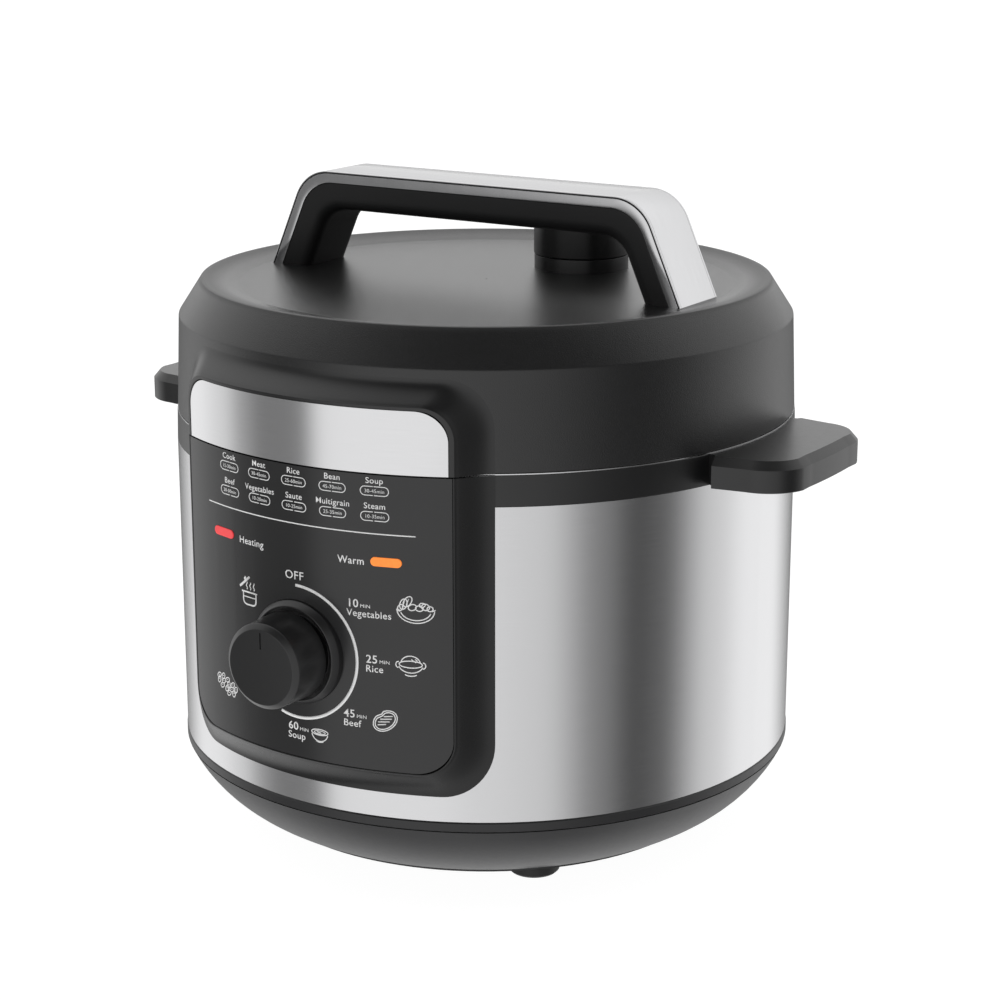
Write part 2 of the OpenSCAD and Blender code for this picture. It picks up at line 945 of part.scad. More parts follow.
module power_inlet() {
    color([0.1, 0.1, 0.1])
        difference() {
            union() {
                translate([-inlet_flange_w / 2, drum_r - 1.2, inlet_z - inlet_flange_h / 2])
                    cube([inlet_flange_w, inlet_front - drum_r + 1.2, inlet_flange_h]);
                translate([-inlet_w / 2, inlet_front - inlet_depth, inlet_z - inlet_h / 2])
                    cube([inlet_w, inlet_depth, inlet_h]);
            }
            // the flange's back follows the drum
            difference() {
                disc(drum_r + fit_gap, inlet_z - inlet_flange_h, 2 * inlet_flange_h, round_fn);
                translate([-inlet_w / 2, 0, inlet_z - inlet_h / 2])
                    cube([inlet_w, 2 * drum_r, inlet_h]);
            }
            translate([-socket_w / 2, inlet_front - socket_depth, inlet_z - socket_h / 2])
                cube([socket_w, socket_depth + 1, socket_h]);
            for (p = blade_places)
                translate([p[0] - blade_w / 2, inlet_front - inlet_depth - 1, inlet_z + p[1] - blade_h / 2])
                    cube([blade_w, 8, blade_h]);
        }
}

module inlet_pins() {
    color([0.85, 0.75, 0.45])
        for (p = blade_places)
            translate([p[0] - blade_w / 2, inlet_front - inlet_depth - blade_tail, inlet_z + p[1] - blade_h / 2])
                cube([blade_w, blade_len, blade_h]);
}

// ---------- lid ----------

// The cover's section, moved in by t
function cover_section(t) = [
    [skirt_r - t, skirt_z],
    [shoulder_r - t, shoulder_z - t * 0.25],
    [rim_r - 0.6 - t * 0.8, rim_z - t * 1.05],
    [rim_r - 1.4 - t * 0.9, rim_z - t],
    [dish_r - t * 0.1, dish_z - t],
    [0, dish_z - t]
];

module cover_solid(t) {
    rotate_extrude($fn = round_fn)
        polygon(concat(cover_section(t), [[0, skirt_z]]));
}

module lid_boss(face_r, half, foot_half, back_r, top_z) {
    width = 2 * drum_r * sin(foot_half) + 1;
    intersection() {
        translate([0, 0, skirt_z])
            linear_extrude(top_z - skirt_z)
                boss_plan(face_r, half, foot_half, back_r);
        rotate_extrude($fn = round_fn)
            polygon(concat(
                [[back_r - 10, skirt_z], [face_r + 1, skirt_z], [face_r + 1, badge_z + 1.5]],
                [for (i = [0 : 8]) [
                    shoulder_r + (face_r + 0.1 - shoulder_r) * pow(1 - i / 8, 2),
                    badge_z + 1.5 + (top_z - badge_z - 1.5) * i / 8]],
                [[back_r - 10, top_z]]
            ));
        front_prism(width, skirt_z - frame_corner - 1, top_z, 0, frame_corner);
    }
}

module lid_cover() {
    boss_top = badge_z + frame_foot;
    color([0.16, 0.16, 0.17])
        difference() {
            union() {
                difference() {
                    cover_solid(0);
                    translate([0, 0, -eps])
                        cover_solid(cover_t);
                }
                difference() {
                    lid_boss(panel_r + 0.2, panel_half + frame_lip, flank_half, shoulder_r - cover_t, boss_top);
                    translate([0, 0, -eps])
                        cover_solid(cover_t);
                }
                for (a = lid_boss_angles)
                    polar(a, lid_boss_r)
                        disc(4.5, inner_lid_z + inner_lid_t, dish_z - cover_t - inner_lid_z - inner_lid_t + eps);
                translate([valve_x, valve_y, 0])
                    disc(seat_r, dish_z - eps, seat_h, round_fn);
            }
            intersection() {
                ring(panel_r - panel_t - fit_gap, panel_r + 5, skirt_z - 1, badge_z - skirt_z + 1 + fit_gap);
                front_prism(2 * panel_r * sin(badge_half) + 0.2, skirt_z - 30, badge_z + fit_gap, 0, badge_corner);
            }
            for (a = lid_boss_angles)
                polar(a, lid_boss_r)
                    disc(screw_r, inner_lid_z, 14, small_fn);
            translate([valve_x, valve_y, 0])
                disc(pipe_r + 1.5, dish_z - 10, 30, small_fn);
            translate([float_x, float_y, 0])
                disc(float_r + 2, dish_z - 10, 30, small_fn);
            for (x = [-1, 1])
                for (y = [-1, 1])
                    translate([x * handle_screw_x, y * handle_screw_y, 0])
                        disc(screw_r + 0.2, dish_z - 10, 20, small_fn);
        }
}

module lid_badge_plate() {
    color([0.8, 0.8, 0.81])
        intersection() {
            ring(panel_r - panel_t, panel_r, skirt_z, badge_z - skirt_z);
            front_prism(2 * panel_r * sin(badge_half), skirt_z - 30, badge_z, 0, badge_corner);
        }
}

module inner_lid() {
    pitch = 360 / bayonet_n;
    bead_r = 102.6;
    bead_t = 1.5;
    color([0.78, 0.78, 0.8])
        difference() {
            union() {
                disc(lid_wall_r, inner_lid_z, inner_lid_t, round_fn);
                ring(lid_wall_r - lid_wall_t, lid_wall_r, lug_z, inner_lid_z - lug_z + eps);
                ring(bead_r, bead_r + bead_t, lug_z + 5, inner_lid_z - lug_z - 5 + eps);
                for (i = [0 : bayonet_n - 1])
                    rotate([0, 0, i * pitch + lug_lead - 90 - lug_span / 2])
                        rotate_extrude(angle = lug_span, $fn = round_fn)
                            translate([lid_wall_r - 0.5, lug_z])
                                square([lug_r - lid_wall_r + 0.5, lug_t]);
            }
            for (a = lid_boss_angles)
                polar(a, lid_boss_r)
                    disc(screw_r + 0.1, inner_lid_z - 1, 5, small_fn);
            translate([valve_x, valve_y, 0])
                disc(pipe_r + 0.1, inner_lid_z - 1, 5, small_fn);
            translate([float_x, float_y, 0])
                disc(float_r + 1.5, inner_lid_z - 1, 5, small_fn);
        }
}

module inner_lid_screws() {
    color([0.75, 0.75, 0.77])
        for (a = lid_boss_angles)
            polar(a, lid_boss_r)
                screw_up(inner_lid_z, 12);
}

// A ring with a thin lip inside, which steam presses against the inner lid
module sealing_gasket() {
    low_z = pot_lip_z + pot_lip_t + 0.3;
    top_z = inner_lid_z - 0.4;
    outer_r = lid_wall_r - lid_wall_t - 0.5;
    body_r = outer_r - 4.9;
    lip_r = outer_r - 13.5;
    color([0.85, 0.86, 0.84])
        rotate_extrude($fn = round_fn)
            polygon([
                [lip_r + 1.6, low_z],
                [outer_r - 1.5, low_z],
                [outer_r, low_z + 3.7],
                [outer_r, top_z],
                [body_r, top_z],
                [body_r, low_z + 5.7],
                [body_r - 4.5, low_z + 4.2],
                [lip_r + 0.2, top_z - 3],
                [lip_r, top_z - 4.6],
                [lip_r + 0.6, low_z + 2.7]
            ]);
}

// The arch's outline at a depth below its outer face; its bends tighten slower than the depth grows
function arch(depth) =
    let (
        slack = max(depth, 0) * bend_slack,
        centre_x = handle_straight - slack * tan(leg_angle / 2),
        centre_z = dish_z + handle_h - handle_bend_r - slack,
        r = handle_bend_r - depth + slack,
        bend_x = centre_x + r * sin(leg_angle),
        bend_z = centre_z + r * cos(leg_angle),
        foot_x = bend_x + (bend_z - dish_z) / tan(leg_angle),
        right = concat(
            arc_points(centre_x, centre_z, r, 90, 90 - leg_angle, 10),
            [[foot_x, dish_z]]
        )
    )
    concat([for (p = reversed(right)) [-p[0], p[1]]], right);

module arch_band(depth0, depth1, half_w) {
    translate([0, half_w, 0])
        rotate([90, 0, 0])
            linear_extrude(2 * half_w)
                polygon(concat(arch(depth0), reversed(arch(depth1))));
}

module handle_shell() {
    color([0.82, 0.82, 0.83])
        difference() {
            arch_band(0, trim_deep, handle_w / 2);
            arch_band(trim_under, trim_deep + 1, handle_w / 2 - trim_side);
            arch_band(-1, trim_top, handle_w / 2 - trim_side + 0.1);
        }
}

module handle_top_plate() {
    color([0.86, 0.86, 0.87])
        arch_band(0, trim_top, handle_w / 2 - trim_side - 0.2);
}

module handle_grip() {
    edge_r = 6;
    layers = 5;
    color([0.13, 0.13, 0.14])
        difference() {
            union() {
                arch_band(trim_under, trim_deep, handle_w / 2 - trim_side);
                arch_band(trim_deep, handle_t - edge_r, handle_w / 2);
                for (i = [1 : layers])
                    arch_band(
                        handle_t - edge_r + edge_r * sin(90 * (i - 1) / layers) - eps,
                        handle_t - edge_r + edge_r * sin(90 * i / layers),
                        handle_w / 2 - edge_r * (1 - cos(90 * (i - 0.5) / layers))
                    );
            }
            for (x = [-1, 1])
                for (y = [-1, 1])
                    translate([x * handle_screw_x, y * handle_screw_y, 0])
                        disc(screw_r, dish_z - 1, 12, small_fn);
        }
}

module handle_screws() {
    color([0.75, 0.75, 0.77])
        for (x = [-1, 1])
            for (y = [-1, 1])
                translate([x * handle_screw_x, y * handle_screw_y, 0])
                    screw_up(dish_z - cover_t - fit_gap, 12);
}

module exhaust_pipe() {
    color([0.8, 0.8, 0.82])
        translate([valve_x, valve_y, 0])
            difference() {
                union() {
                    disc(pipe_r, inner_lid_z - 5, pipe_top - inner_lid_z + 5, small_fn);
                    disc(8, inner_lid_z + inner_lid_t, 2, small_fn);
                }
                disc(pipe_bore, inner_lid_z - 10, 80, small_fn);
            }
}

module exhaust_nut() {
    nut_r = 7;
    color([0.7, 0.7, 0.72])
        translate([valve_x, valve_y, 0])
            difference() {
                disc(nut_r, inner_lid_z - 3, 3, 6);
                disc(pipe_r, inner_lid_z - 5, 8, small_fn);
            }
}

module anti_block_shield() {
    shield_r = 12;
    shield_t = 1;
    shield_h = 11;
    slots = 8;
    slot_w = 3;
    color([0.76, 0.76, 0.78])
        translate([valve_x, valve_y, inner_lid_z - shield_h])
            difference() {
                cylinder(r = shield_r, h = shield_h, $fn = small_fn);
                translate([0, 0, shield_t])
                    cylinder(r = shield_r - shield_t, h = shield_h, $fn = small_fn);
                for (i = [0 : slots - 1])
                    rotate([0, 0, 360 * i / slots])
                        translate([shield_r - 2, -slot_w / 2, 2.5])
                            cube([4, slot_w, 4.5]);
            }
}

module float_guide() {
    color([0.75, 0.75, 0.77])
        translate([float_x, float_y, 0])
            difference() {
                union() {
                    disc(float_r + 1.4, inner_lid_z - 2, 12, small_fn);
                    disc(7, inner_lid_z + inner_lid_t, 1.5, small_fn);
                }
                disc(float_r + 0.3, inner_lid_z - 4, 20, small_fn);
            }
}

module float_valve() {
    color([0.8, 0.8, 0.82])
        translate([float_x, float_y, 0]) {
            disc(float_r, inner_lid_z - 8, dish_z - 1 - inner_lid_z + 8, small_fn);
            disc(5, inner_lid_z - 8, 1.2, small_fn);
        }
}

module float_seal() {
    color([0.8, 0.3, 0.2])
        translate([float_x, float_y, 0])
            difference() {
                disc(4.5, inner_lid_z - 6.8, 0.7, small_fn);
                disc(float_r, inner_lid_z - 8, 4, small_fn);
            }
}

module valve_weight() {
    color([0.7, 0.7, 0.72])
        translate([valve_x, valve_y, 0])
            difference() {
                disc(weight_r, weight_z, weight_h, small_fn);
                disc(pipe_r + 0.4, weight_z - 1, pipe_top - weight_z + 1.2, small_fn);
            }
}

module valve_cap() {
    wall = 2;
    bevel = 1.5;
    color([0.12, 0.12, 0.13])
        translate([valve_x, valve_y, 0])
            difference() {
                rotate_extrude($fn = round_fn)
                    polygon([
                        [0, cap_z],
                        [valve_r, cap_z],
                        [valve_r, cap_z + cap_h - bevel],
                        [valve_r - bevel, cap_z + cap_h],
                        [0, cap_z + cap_h]
                    ]);
                difference() {
                    disc(valve_r - wall, cap_z - 1, cap_h - wall + 1, round_fn);
                    disc(weight_r + 2, cap_z + 2, cap_h, round_fn);
                }
                disc(weight_r + 0.05, cap_z - 1, weight_z + weight_h + 0.3 - cap_z + 1, round_fn);
            }
}

// ---------- what is drawn ----------

on_axis() base_pan();
on_axis() lower_trim_ring();
on_axis() steel_wrap();
on_axis() handle_ring();
on_axis() panel_frame();
on_axis() control_panel();
on_axis() knob_collar();
on_axis() heating_lens();
on_axis() warm_lens();
on_axis() indicator_lamps();
on_axis() timer_unit();
on_axis() timer_screws();
on_axis() outer_pot();
on_axis() bayonet_ring();
on_axis() heating_plate();
on_axis() heater_terminals();
on_axis() elastic_disc();
on_axis() pressure_switch();
on_axis() sensor_bracket();
on_axis() sensor_spring();
on_axis() thermal_fuse();
on_axis() power_inlet();
on_axis() inlet_pins();
on_axis() rubber_feet();
on_axis() foot_screws();
on_axis() base_screws();
on_axis() panel_screws();
on_axis() ring_screws();
on_axis() inner_pot();
on_axis() thermostat_sensor();
on_axis() timer_knob();
on_axis() timer_shaft();
on_axis() sealing_gasket();
on_axis() lid_cover();
on_axis() lid_badge_plate();
on_axis() inner_lid();
on_axis() inner_lid_screws();
on_axis() handle_grip();
on_axis() handle_shell();
on_axis() handle_top_plate();
on_axis() handle_screws();
on_axis() exhaust_pipe();
on_axis() exhaust_nut();
on_axis() anti_block_shield();
on_axis() float_guide();
on_axis() valve_weight();
on_axis() valve_cap();
on_axis() float_valve();
on_axis() float_seal();
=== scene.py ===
"""Electric pressure cooker: mesh work, prints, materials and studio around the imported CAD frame."""
import math

import bmesh
import bpy
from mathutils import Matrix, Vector


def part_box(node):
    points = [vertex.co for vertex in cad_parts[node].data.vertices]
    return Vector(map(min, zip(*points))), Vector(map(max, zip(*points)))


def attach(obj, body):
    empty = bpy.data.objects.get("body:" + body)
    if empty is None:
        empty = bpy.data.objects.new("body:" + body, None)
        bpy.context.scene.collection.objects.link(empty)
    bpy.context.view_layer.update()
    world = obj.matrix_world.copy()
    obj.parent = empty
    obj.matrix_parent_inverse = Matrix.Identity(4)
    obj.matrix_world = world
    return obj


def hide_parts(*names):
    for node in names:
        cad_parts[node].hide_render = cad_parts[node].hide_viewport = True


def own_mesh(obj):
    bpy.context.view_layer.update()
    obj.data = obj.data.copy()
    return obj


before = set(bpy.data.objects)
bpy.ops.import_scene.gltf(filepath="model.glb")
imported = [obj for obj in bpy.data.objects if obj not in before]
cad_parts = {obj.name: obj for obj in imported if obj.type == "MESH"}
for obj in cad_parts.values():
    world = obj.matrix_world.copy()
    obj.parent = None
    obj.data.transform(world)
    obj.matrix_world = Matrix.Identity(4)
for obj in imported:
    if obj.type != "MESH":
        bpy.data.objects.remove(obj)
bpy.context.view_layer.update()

MM = 0.001
BODY = "cooker_body"

# ---------- sizes, from the frame ----------


def half_width(node):
    """Half of a node's size along X."""
    lo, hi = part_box(node)
    return (hi[0] - lo[0]) / 2


STEEL_LO, STEEL_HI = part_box("steel_wrap")
AXIS_Y = (STEEL_LO[1] + STEEL_HI[1]) / 2
DRUM_R = half_width("steel_wrap")
RING_Z = STEEL_HI[2]
RING_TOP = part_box("handle_ring")[1][2]
SKIRT_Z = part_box("lid_badge_plate")[0][2]
BADGE_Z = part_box("lid_badge_plate")[1][2]
DISH_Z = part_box("handle_grip")[0][2]
RIM_Z = DISH_Z + 3.1 * MM
SHOULDER_Z = RIM_Z - 16 * MM
SKIRT_R = DRUM_R - 0.6 * MM
SHOULDER_R = DRUM_R - 2.3 * MM
RIM_R = DRUM_R - 12.7 * MM
DISH_R = DRUM_R - 29.5 * MM
COVER_T = 2.6 * MM
ROUND = 240

PANEL_LO, PANEL_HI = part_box("control_panel")
PANEL_R = AXIS_Y - PANEL_LO[1]
PANEL_HALF = math.asin(PANEL_HI[0] / PANEL_R)
PANEL_Z = PANEL_LO[2]
BADGE_HALF = math.asin(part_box("lid_badge_plate")[1][0] / PANEL_R)
LIP_HALF = PANEL_HALF + math.radians(0.4)
FLANK = math.radians(6.4)
FOOT_DROP = 12 * MM
LIP_R = PANEL_R + 0.2 * MM

KNOB_LO, KNOB_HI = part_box("timer_knob")
TIMER_Z = (KNOB_LO[2] + KNOB_HI[2]) / 2
KNOB_R = half_width("timer_knob")

HANDLE_LO, HANDLE_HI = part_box("handle_shell")
HANDLE_W = HANDLE_HI[1] - HANDLE_LO[1]
HANDLE_TOP = HANDLE_HI[2]


# ---------- small geometry helpers ----------


def rounded(points, radii, steps=5, closed=True):
    """A polyline whose corners are replaced by arcs of the given radii."""
    out = []
    count = len(points)
    for i, (point, radius) in enumerate(zip(points, radii)):
        if radius <= 0 or (not closed and i in (0, count - 1)):
            out.append(point)
            continue
        corner = Vector(point)
        to_prev = Vector(points[i - 1]) - corner
        to_next = Vector(points[(i + 1) % count]) - corner
        half_angle = to_prev.angle(to_next) / 2
        room = min(to_prev.length, to_next.length) * 0.49
        tangent = min(radius / math.tan(half_angle), room)
        start = corner + to_prev.normalized() * tangent
        end = corner + to_next.normalized() * tangent
        for k in range(steps + 1):
            s = k / steps
            weight = (1 - s) ** 2, 2 * s * (1 - s), s ** 2
            out.append(tuple(start * weight[0] + corner * weight[1] + end * weight[2]))
    return out


def clean_mesh(mesh, sharp, recalculate=True):
    """Merges doubles, shades smooth and keeps the edges sharper than the angle."""
    bm = bmesh.new()
    bm.from_mesh(mesh)
    bmesh.ops.remove_doubles(bm, verts=bm.verts, dist=1e-7)
    bmesh.ops.dissolve_degenerate(bm, edges=bm.edges, dist=1e-7)
    if recalculate:
        bmesh.ops.recalc_face_normals(bm, faces=bm.faces)
    for edge in bm.edges:
        if len(edge.link_faces) == 2:
            edge.smooth = edge.calc_face_angle() < math.radians(sharp)
    for face in bm.faces:
        face.smooth = True
    bm.to_mesh(mesh)
    bm.free()


def mesh_object(name, verts, faces, sharp=35):
    """A smooth-shaded object; edges sharper than the angle stay sharp."""
    mesh = bpy.data.meshes.new(name)
    mesh.from_pydata([tuple(v) for v in verts], [], faces)
    clean_mesh(mesh, sharp)
    obj = bpy.data.objects.new(name, mesh)
    bpy.context.scene.collection.objects.link(obj)
    return obj


def loft(rings, closed_u=True, closed_v=False, caps=True):
    """Vertices and faces through a list of rings of points."""
    width = len(rings[0])
    verts = [p for ring in rings for p in ring]
    faces = []
    across = width if closed_u else width - 1
    along = len(rings) if closed_v else len(rings) - 1
    for i in range(along):
        for j in range(across):
            a, b = i * width + j, i * width + (j + 1) % width
            shift = ((i + 1) % len(rings)) * width
            faces.append((a, b, shift + (j + 1) % width, shift + j))
    if caps and closed_u and not closed_v:
        faces.append(tuple(range(width)))
        faces.append(tuple((len(rings) - 1) * width + j for j in reversed(range(width))))
    return verts, faces


def lathe(name, profile, centre=(0, 0, 0), axis="Z", segments=192, sharp=35):
    """A solid of turning from a closed profile of (radius, height) points."""
    rings = []
    for k in range(segments):
        turn = 2 * math.pi * k / segments
        c, s = math.cos(turn), math.sin(turn)
        if axis == "Z":
            rings.append([(centre[0] + r * c, centre[1] + r * s, centre[2] + h) for r, h in profile])
        else:
            rings.append([(centre[0] + r * c, centre[1] - h, centre[2] + r * s) for r, h in profile])
    return mesh_object(name, *loft(rings, closed_v=True), sharp=sharp)


def on_drum(u, z, radius):
    """The point at arc length u from the front, measured on the printed face."""
    turn = u / PANEL_R
    return (radius * math.sin(turn), AXIS_Y - radius * math.cos(turn), z)


def cut(obj, cutter):
    """Takes the cutter out of the object."""
    tool = obj.modifiers.new("cut", "BOOLEAN")
    tool.operation = "DIFFERENCE"
    tool.object = cutter
    tool.solver = "EXACT"
    graph = bpy.context.evaluated_depsgraph_get()
    mesh = bpy.data.meshes.new_from_object(obj.evaluated_get(graph))
    obj.modifiers.clear()
    clean_mesh(mesh, 35, recalculate=False)
    obj.data = mesh
    bpy.data.objects.remove(cutter)


def place(obj, body, material, slot, *nodes):
    """Gives a piece its body, its material and the CAD nodes that it stands for."""
    obj.data.materials.clear()
    obj.data.materials.append(material)
    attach(obj, body)
    if nodes:
        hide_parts(*nodes)
    return obj


# ---------- materials ----------


class Nodes:
    """A material's node tree with short calls for the nodes that the finishes share."""

    def __init__(self, name):
        self.material = bpy.data.materials.new(name)
        self.material.use_nodes = True
        self.tree = self.material.node_tree
        self.shader = self.tree.nodes["Principled BSDF"]
        self.coords = self.tree.nodes.new("ShaderNodeTexCoord").outputs["Object"]

    def link(self, out, socket):
        self.tree.links.new(out, socket)

    def noise(self, scale, detail=3.0, rough=0.5, coords=None):
        node = self.tree.nodes.new("ShaderNodeTexNoise")
        node.inputs["Scale"].default_value = scale
        node.inputs["Detail"].default_value = detail
        node.inputs["Roughness"].default_value = rough
        self.link(coords or self.coords, node.inputs["Vector"])
        return node.outputs["Fac"]

    def ramp(self, factor, low, high, start=0.35, end=0.65):
        node = self.tree.nodes.new("ShaderNodeValToRGB")
        first, last = node.color_ramp.elements
        first.position, last.position = start, end
        first.color = (*low, 1)
        last.color = (*high, 1)
        self.link(factor, node.inputs["Fac"])
        return node.outputs["Color"]

    def span(self, factor, low, high, start=0.3, end=0.7):
        node = self.tree.nodes.new("ShaderNodeMapRange")
        node.inputs["From Min"].default_value = start
        node.inputs["From Max"].default_value = end
        node.inputs["To Min"].default_value = low
        node.inputs["To Max"].default_value = high
        self.link(factor, node.inputs["Value"])
        return node.outputs["Result"]

    def math(self, operation, a, b=None):
        node = self.tree.nodes.new("ShaderNodeMath")
        node.operation = operation
        for socket, value in zip(node.inputs, (a, b)):
            if isinstance(value, (int, float)):
                socket.default_value = value
            elif value is not None:
                self.link(value, socket)
        return node.outputs[0]

    def bump(self, height, strength, distance):
        node = self.tree.nodes.new("ShaderNodeBump")
        node.inputs["Strength"].default_value = strength
        node.inputs["Distance"].default_value = distance
        self.link(height, node.inputs["Height"])
        self.link(node.outputs["Normal"], self.shader.inputs["Normal"])

    def around(self, stretch_z, stretch_r=0):
        """Coordinates round the drum's axis: slow along the turn, fast with height and radius."""
        split = self.tree.nodes.new("ShaderNodeSeparateXYZ")
        self.link(self.coords, split.inputs[0])
        behind = self.math("SUBTRACT", split.outputs["Y"], AXIS_Y)
        turn = self.math("ARCTAN2", split.outputs["X"], behind)
        join = self.tree.nodes.new("ShaderNodeCombineXYZ")
        self.link(turn, join.inputs["X"])
        self.link(self.math("MULTIPLY", split.outputs["Z"], stretch_z), join.inputs["Z"])
        if stretch_r:
            aside = self.math("MULTIPLY", split.outputs["X"], split.outputs["X"])
            squared = self.math("ADD", aside, self.math("MULTIPLY", behind, behind))
            radius = self.math("POWER", squared, 0.5)
            self.link(self.math("MULTIPLY", radius, stretch_r), join.inputs["Y"])
        return join.outputs[0]

    def stretched(self, x, y, z):
        node = self.tree.nodes.new("ShaderNodeMapping")
        node.inputs["Scale"].default_value = (x, y, z)
        self.link(self.coords, node.inputs["Vector"])
        return node.outputs[0]

    def shade(self, **values):
        for name, value in values.items():
            self.shader.inputs[name.replace("_", " ")].default_value = value


def varied(color, amount):
    return tuple(c * (1 - amount) for c in color), tuple(min(1.0, c * (1 + amount)) for c in color)


def plastic(name, color, roughness, grain=1400.0, depth=0.04, spread=0.06, specular=0.5):
    """Moulded plastic: a fine spark-eroded grain, slow changes of tone and of gloss."""
    n = Nodes(name)
    n.link(n.ramp(n.noise(30.0), *varied(color, spread)), n.shader.inputs["Base Color"])
    gloss = n.span(n.noise(400.0, 4.0), roughness * 0.97, roughness * 1.03)
    n.link(gloss, n.shader.inputs["Roughness"])
    n.bump(n.noise(grain, 2.0, 0.6), depth, 0.2 * MM)
    n.shade(Specular_IOR_Level=specular)
    return n.material


def metal(name, color, roughness, along=None, streak=600.0, depth=0.02, spread=0.05, graze=1.0):
    """Worked metal: streaks of the brush or the press; graze dims it at a flat angle."""
    n = Nodes(name)
    coords = along(n) if along else n.coords
    lines = n.noise(streak, 4.0, 0.7, coords)
    n.link(n.ramp(lines, *varied(color, spread)), n.shader.inputs["Base Color"])
    n.link(n.span(lines, roughness * 0.88, roughness * 1.12), n.shader.inputs["Roughness"])
    n.bump(lines, depth, 0.1 * MM)
    n.shade(Metallic=1.0, Specular_Tint=(graze, graze, graze, 1))
    return n.material


def rubber(name, color, roughness, subsurface=0.0):
    """Rubber or silicone: dull and softly uneven, silicone with some light in its depth."""
    n = Nodes(name)
    n.link(n.ramp(n.noise(60.0), *varied(color, 0.08)), n.shader.inputs["Base Color"])
    gloss = n.span(n.noise(300.0, 4.0), roughness * 0.9, roughness * 1.1)
    n.link(gloss, n.shader.inputs["Roughness"])
    n.bump(n.noise(900.0, 3.0, 0.6), 0.08, 0.2 * MM)
    n.shade(Subsurface_Weight=subsurface, Subsurface_Scale=2 * MM)
    return n.material


def lamp_lens(name, color, painted_glow):
    """A tinted lens with a painted glow, as its lamp is not lit; the glow is stronger in patches of its
    frosted back.
    """
    n = Nodes(name)
    frost = n.noise(500.0, 3.0)
    tint = n.ramp(frost, *varied(color, 0.05))
    n.link(tint, n.shader.inputs["Base Color"])
    n.link(tint, n.shader.inputs["Emission Color"])
    n.link(n.span(frost, 0.28, 0.36), n.shader.inputs["Roughness"])
    n.bump(frost, 0.03, 0.1 * MM)
    n.shade(Emission_Strength=painted_glow)
    return n.material


def brushed(n):
    """The drum's fine brush marks, which run round it."""
    return n.around(220.0)


def spun(n):
    """Marks of a spun or turned part, on its walls and on its flat faces."""
    return n.around(60.0, 60.0)


# one finish for each material slot of the record
FINISH = {
    "black_plastic": plastic("black_plastic", (0.006, 0.006, 0.0063), 0.33, 1300.0, 0.10, specular=0.70),
    "base_plastic": plastic("base_plastic", (0.017, 0.017, 0.018), 0.42, 1300.0, 0.07),
    "trim_plastic": plastic("trim_plastic", (0.020, 0.020, 0.021), 0.36),
    "panel_face": plastic("panel_face", (0.024, 0.024, 0.0245), 0.20, 900.0, 0.008, 0.03),
    "frame_plastic": plastic("frame_plastic", (0.008, 0.008, 0.0083), 0.28, 1300.0, 0.05),
    "knob_plastic": plastic("knob_plastic", (0.015, 0.015, 0.0155), 0.29, 1300.0, 0.04, specular=0.6),
    "cap_plastic": plastic("cap_plastic", (0.009, 0.009, 0.0095), 0.34, 1300.0, 0.08),
    "grip_plastic": plastic("grip_plastic", (0.006, 0.006, 0.0063), 0.46, 1100.0, 0.16, specular=0.4),
    "drum_steel": metal("drum_steel", (0.80, 0.80, 0.81), 0.20, brushed, 9.0, 0.004, 0.015),
    "badge_steel": metal("badge_steel", (0.84, 0.84, 0.85), 0.18, brushed, 9.0, 0.004, 0.015),
    "handle_chrome": metal("handle_chrome", (0.74, 0.74, 0.75), 0.13,
        lambda n: n.stretched(20, 400, 20), 4.0, 0.01, 0.02, graze=0.8),
    "handle_plate": metal("handle_plate", (0.75, 0.75, 0.76), 0.16,
        lambda n: n.stretched(20, 900, 20), 4.0, 0.02, 0.03, graze=0.7),
    # the lenses' emission is a painted glow: their lamps are not lit
    "red_lens": lamp_lens("red_lens", (0.76, 0.050, 0.056), 0.38),
    "orange_lens": lamp_lens("orange_lens", (0.98, 0.25, 0.033), 0.43),
    "lamp_glass": plastic("lamp_glass", (0.75, 0.70, 0.55), 0.15, 500.0, 0.02),
    "timer_plastic": plastic("timer_plastic", (0.70, 0.66, 0.55), 0.5, 900.0, 0.05),
    "zinc_screw": metal("zinc_screw", (0.66, 0.67, 0.70), 0.32, None, 900.0, 0.05),
    "pot_metal": metal("pot_metal", (0.72, 0.72, 0.74), 0.30, spun, 12.0, 0.03),
    "well_metal": metal("well_metal", (0.60, 0.60, 0.62), 0.42, spun, 12.0, 0.05),
    "lid_steel": metal("lid_steel", (0.72, 0.72, 0.74), 0.26, spun, 12.0, 0.03),
    "plate_metal": metal("plate_metal", (0.62, 0.62, 0.63), 0.38, spun, 12.0, 0.06),
    "copper_tab": metal("copper_tab", (0.80, 0.60, 0.36), 0.35, None, 700.0, 0.05),
    "spring_steel": metal("spring_steel", (0.55, 0.55, 0.57), 0.3, None, 900.0, 0.04),
    "switch_plastic": plastic("switch_plastic", (0.62, 0.60, 0.50), 0.5, 900.0, 0.05),
    "ceramic_white": plastic("ceramic_white", (0.75, 0.74, 0.70), 0.35, 700.0, 0.03),
    "inlet_plastic": plastic("inlet_plastic", (0.010, 0.010, 0.011), 0.38, 1200.0, 0.06),
    "pin_brass": metal("pin_brass", (0.78, 0.66, 0.40), 0.28, None, 800.0, 0.03),
    "foot_rubber": rubber("foot_rubber", (0.012, 0.012, 0.012), 0.6),
    "gasket_silicone": rubber("gasket_silicone", (0.62, 0.63, 0.60), 0.45, 0.2),
    "float_seal_silicone": rubber("float_seal_silicone", (0.55, 0.12, 0.06), 0.45, 0.1),
}


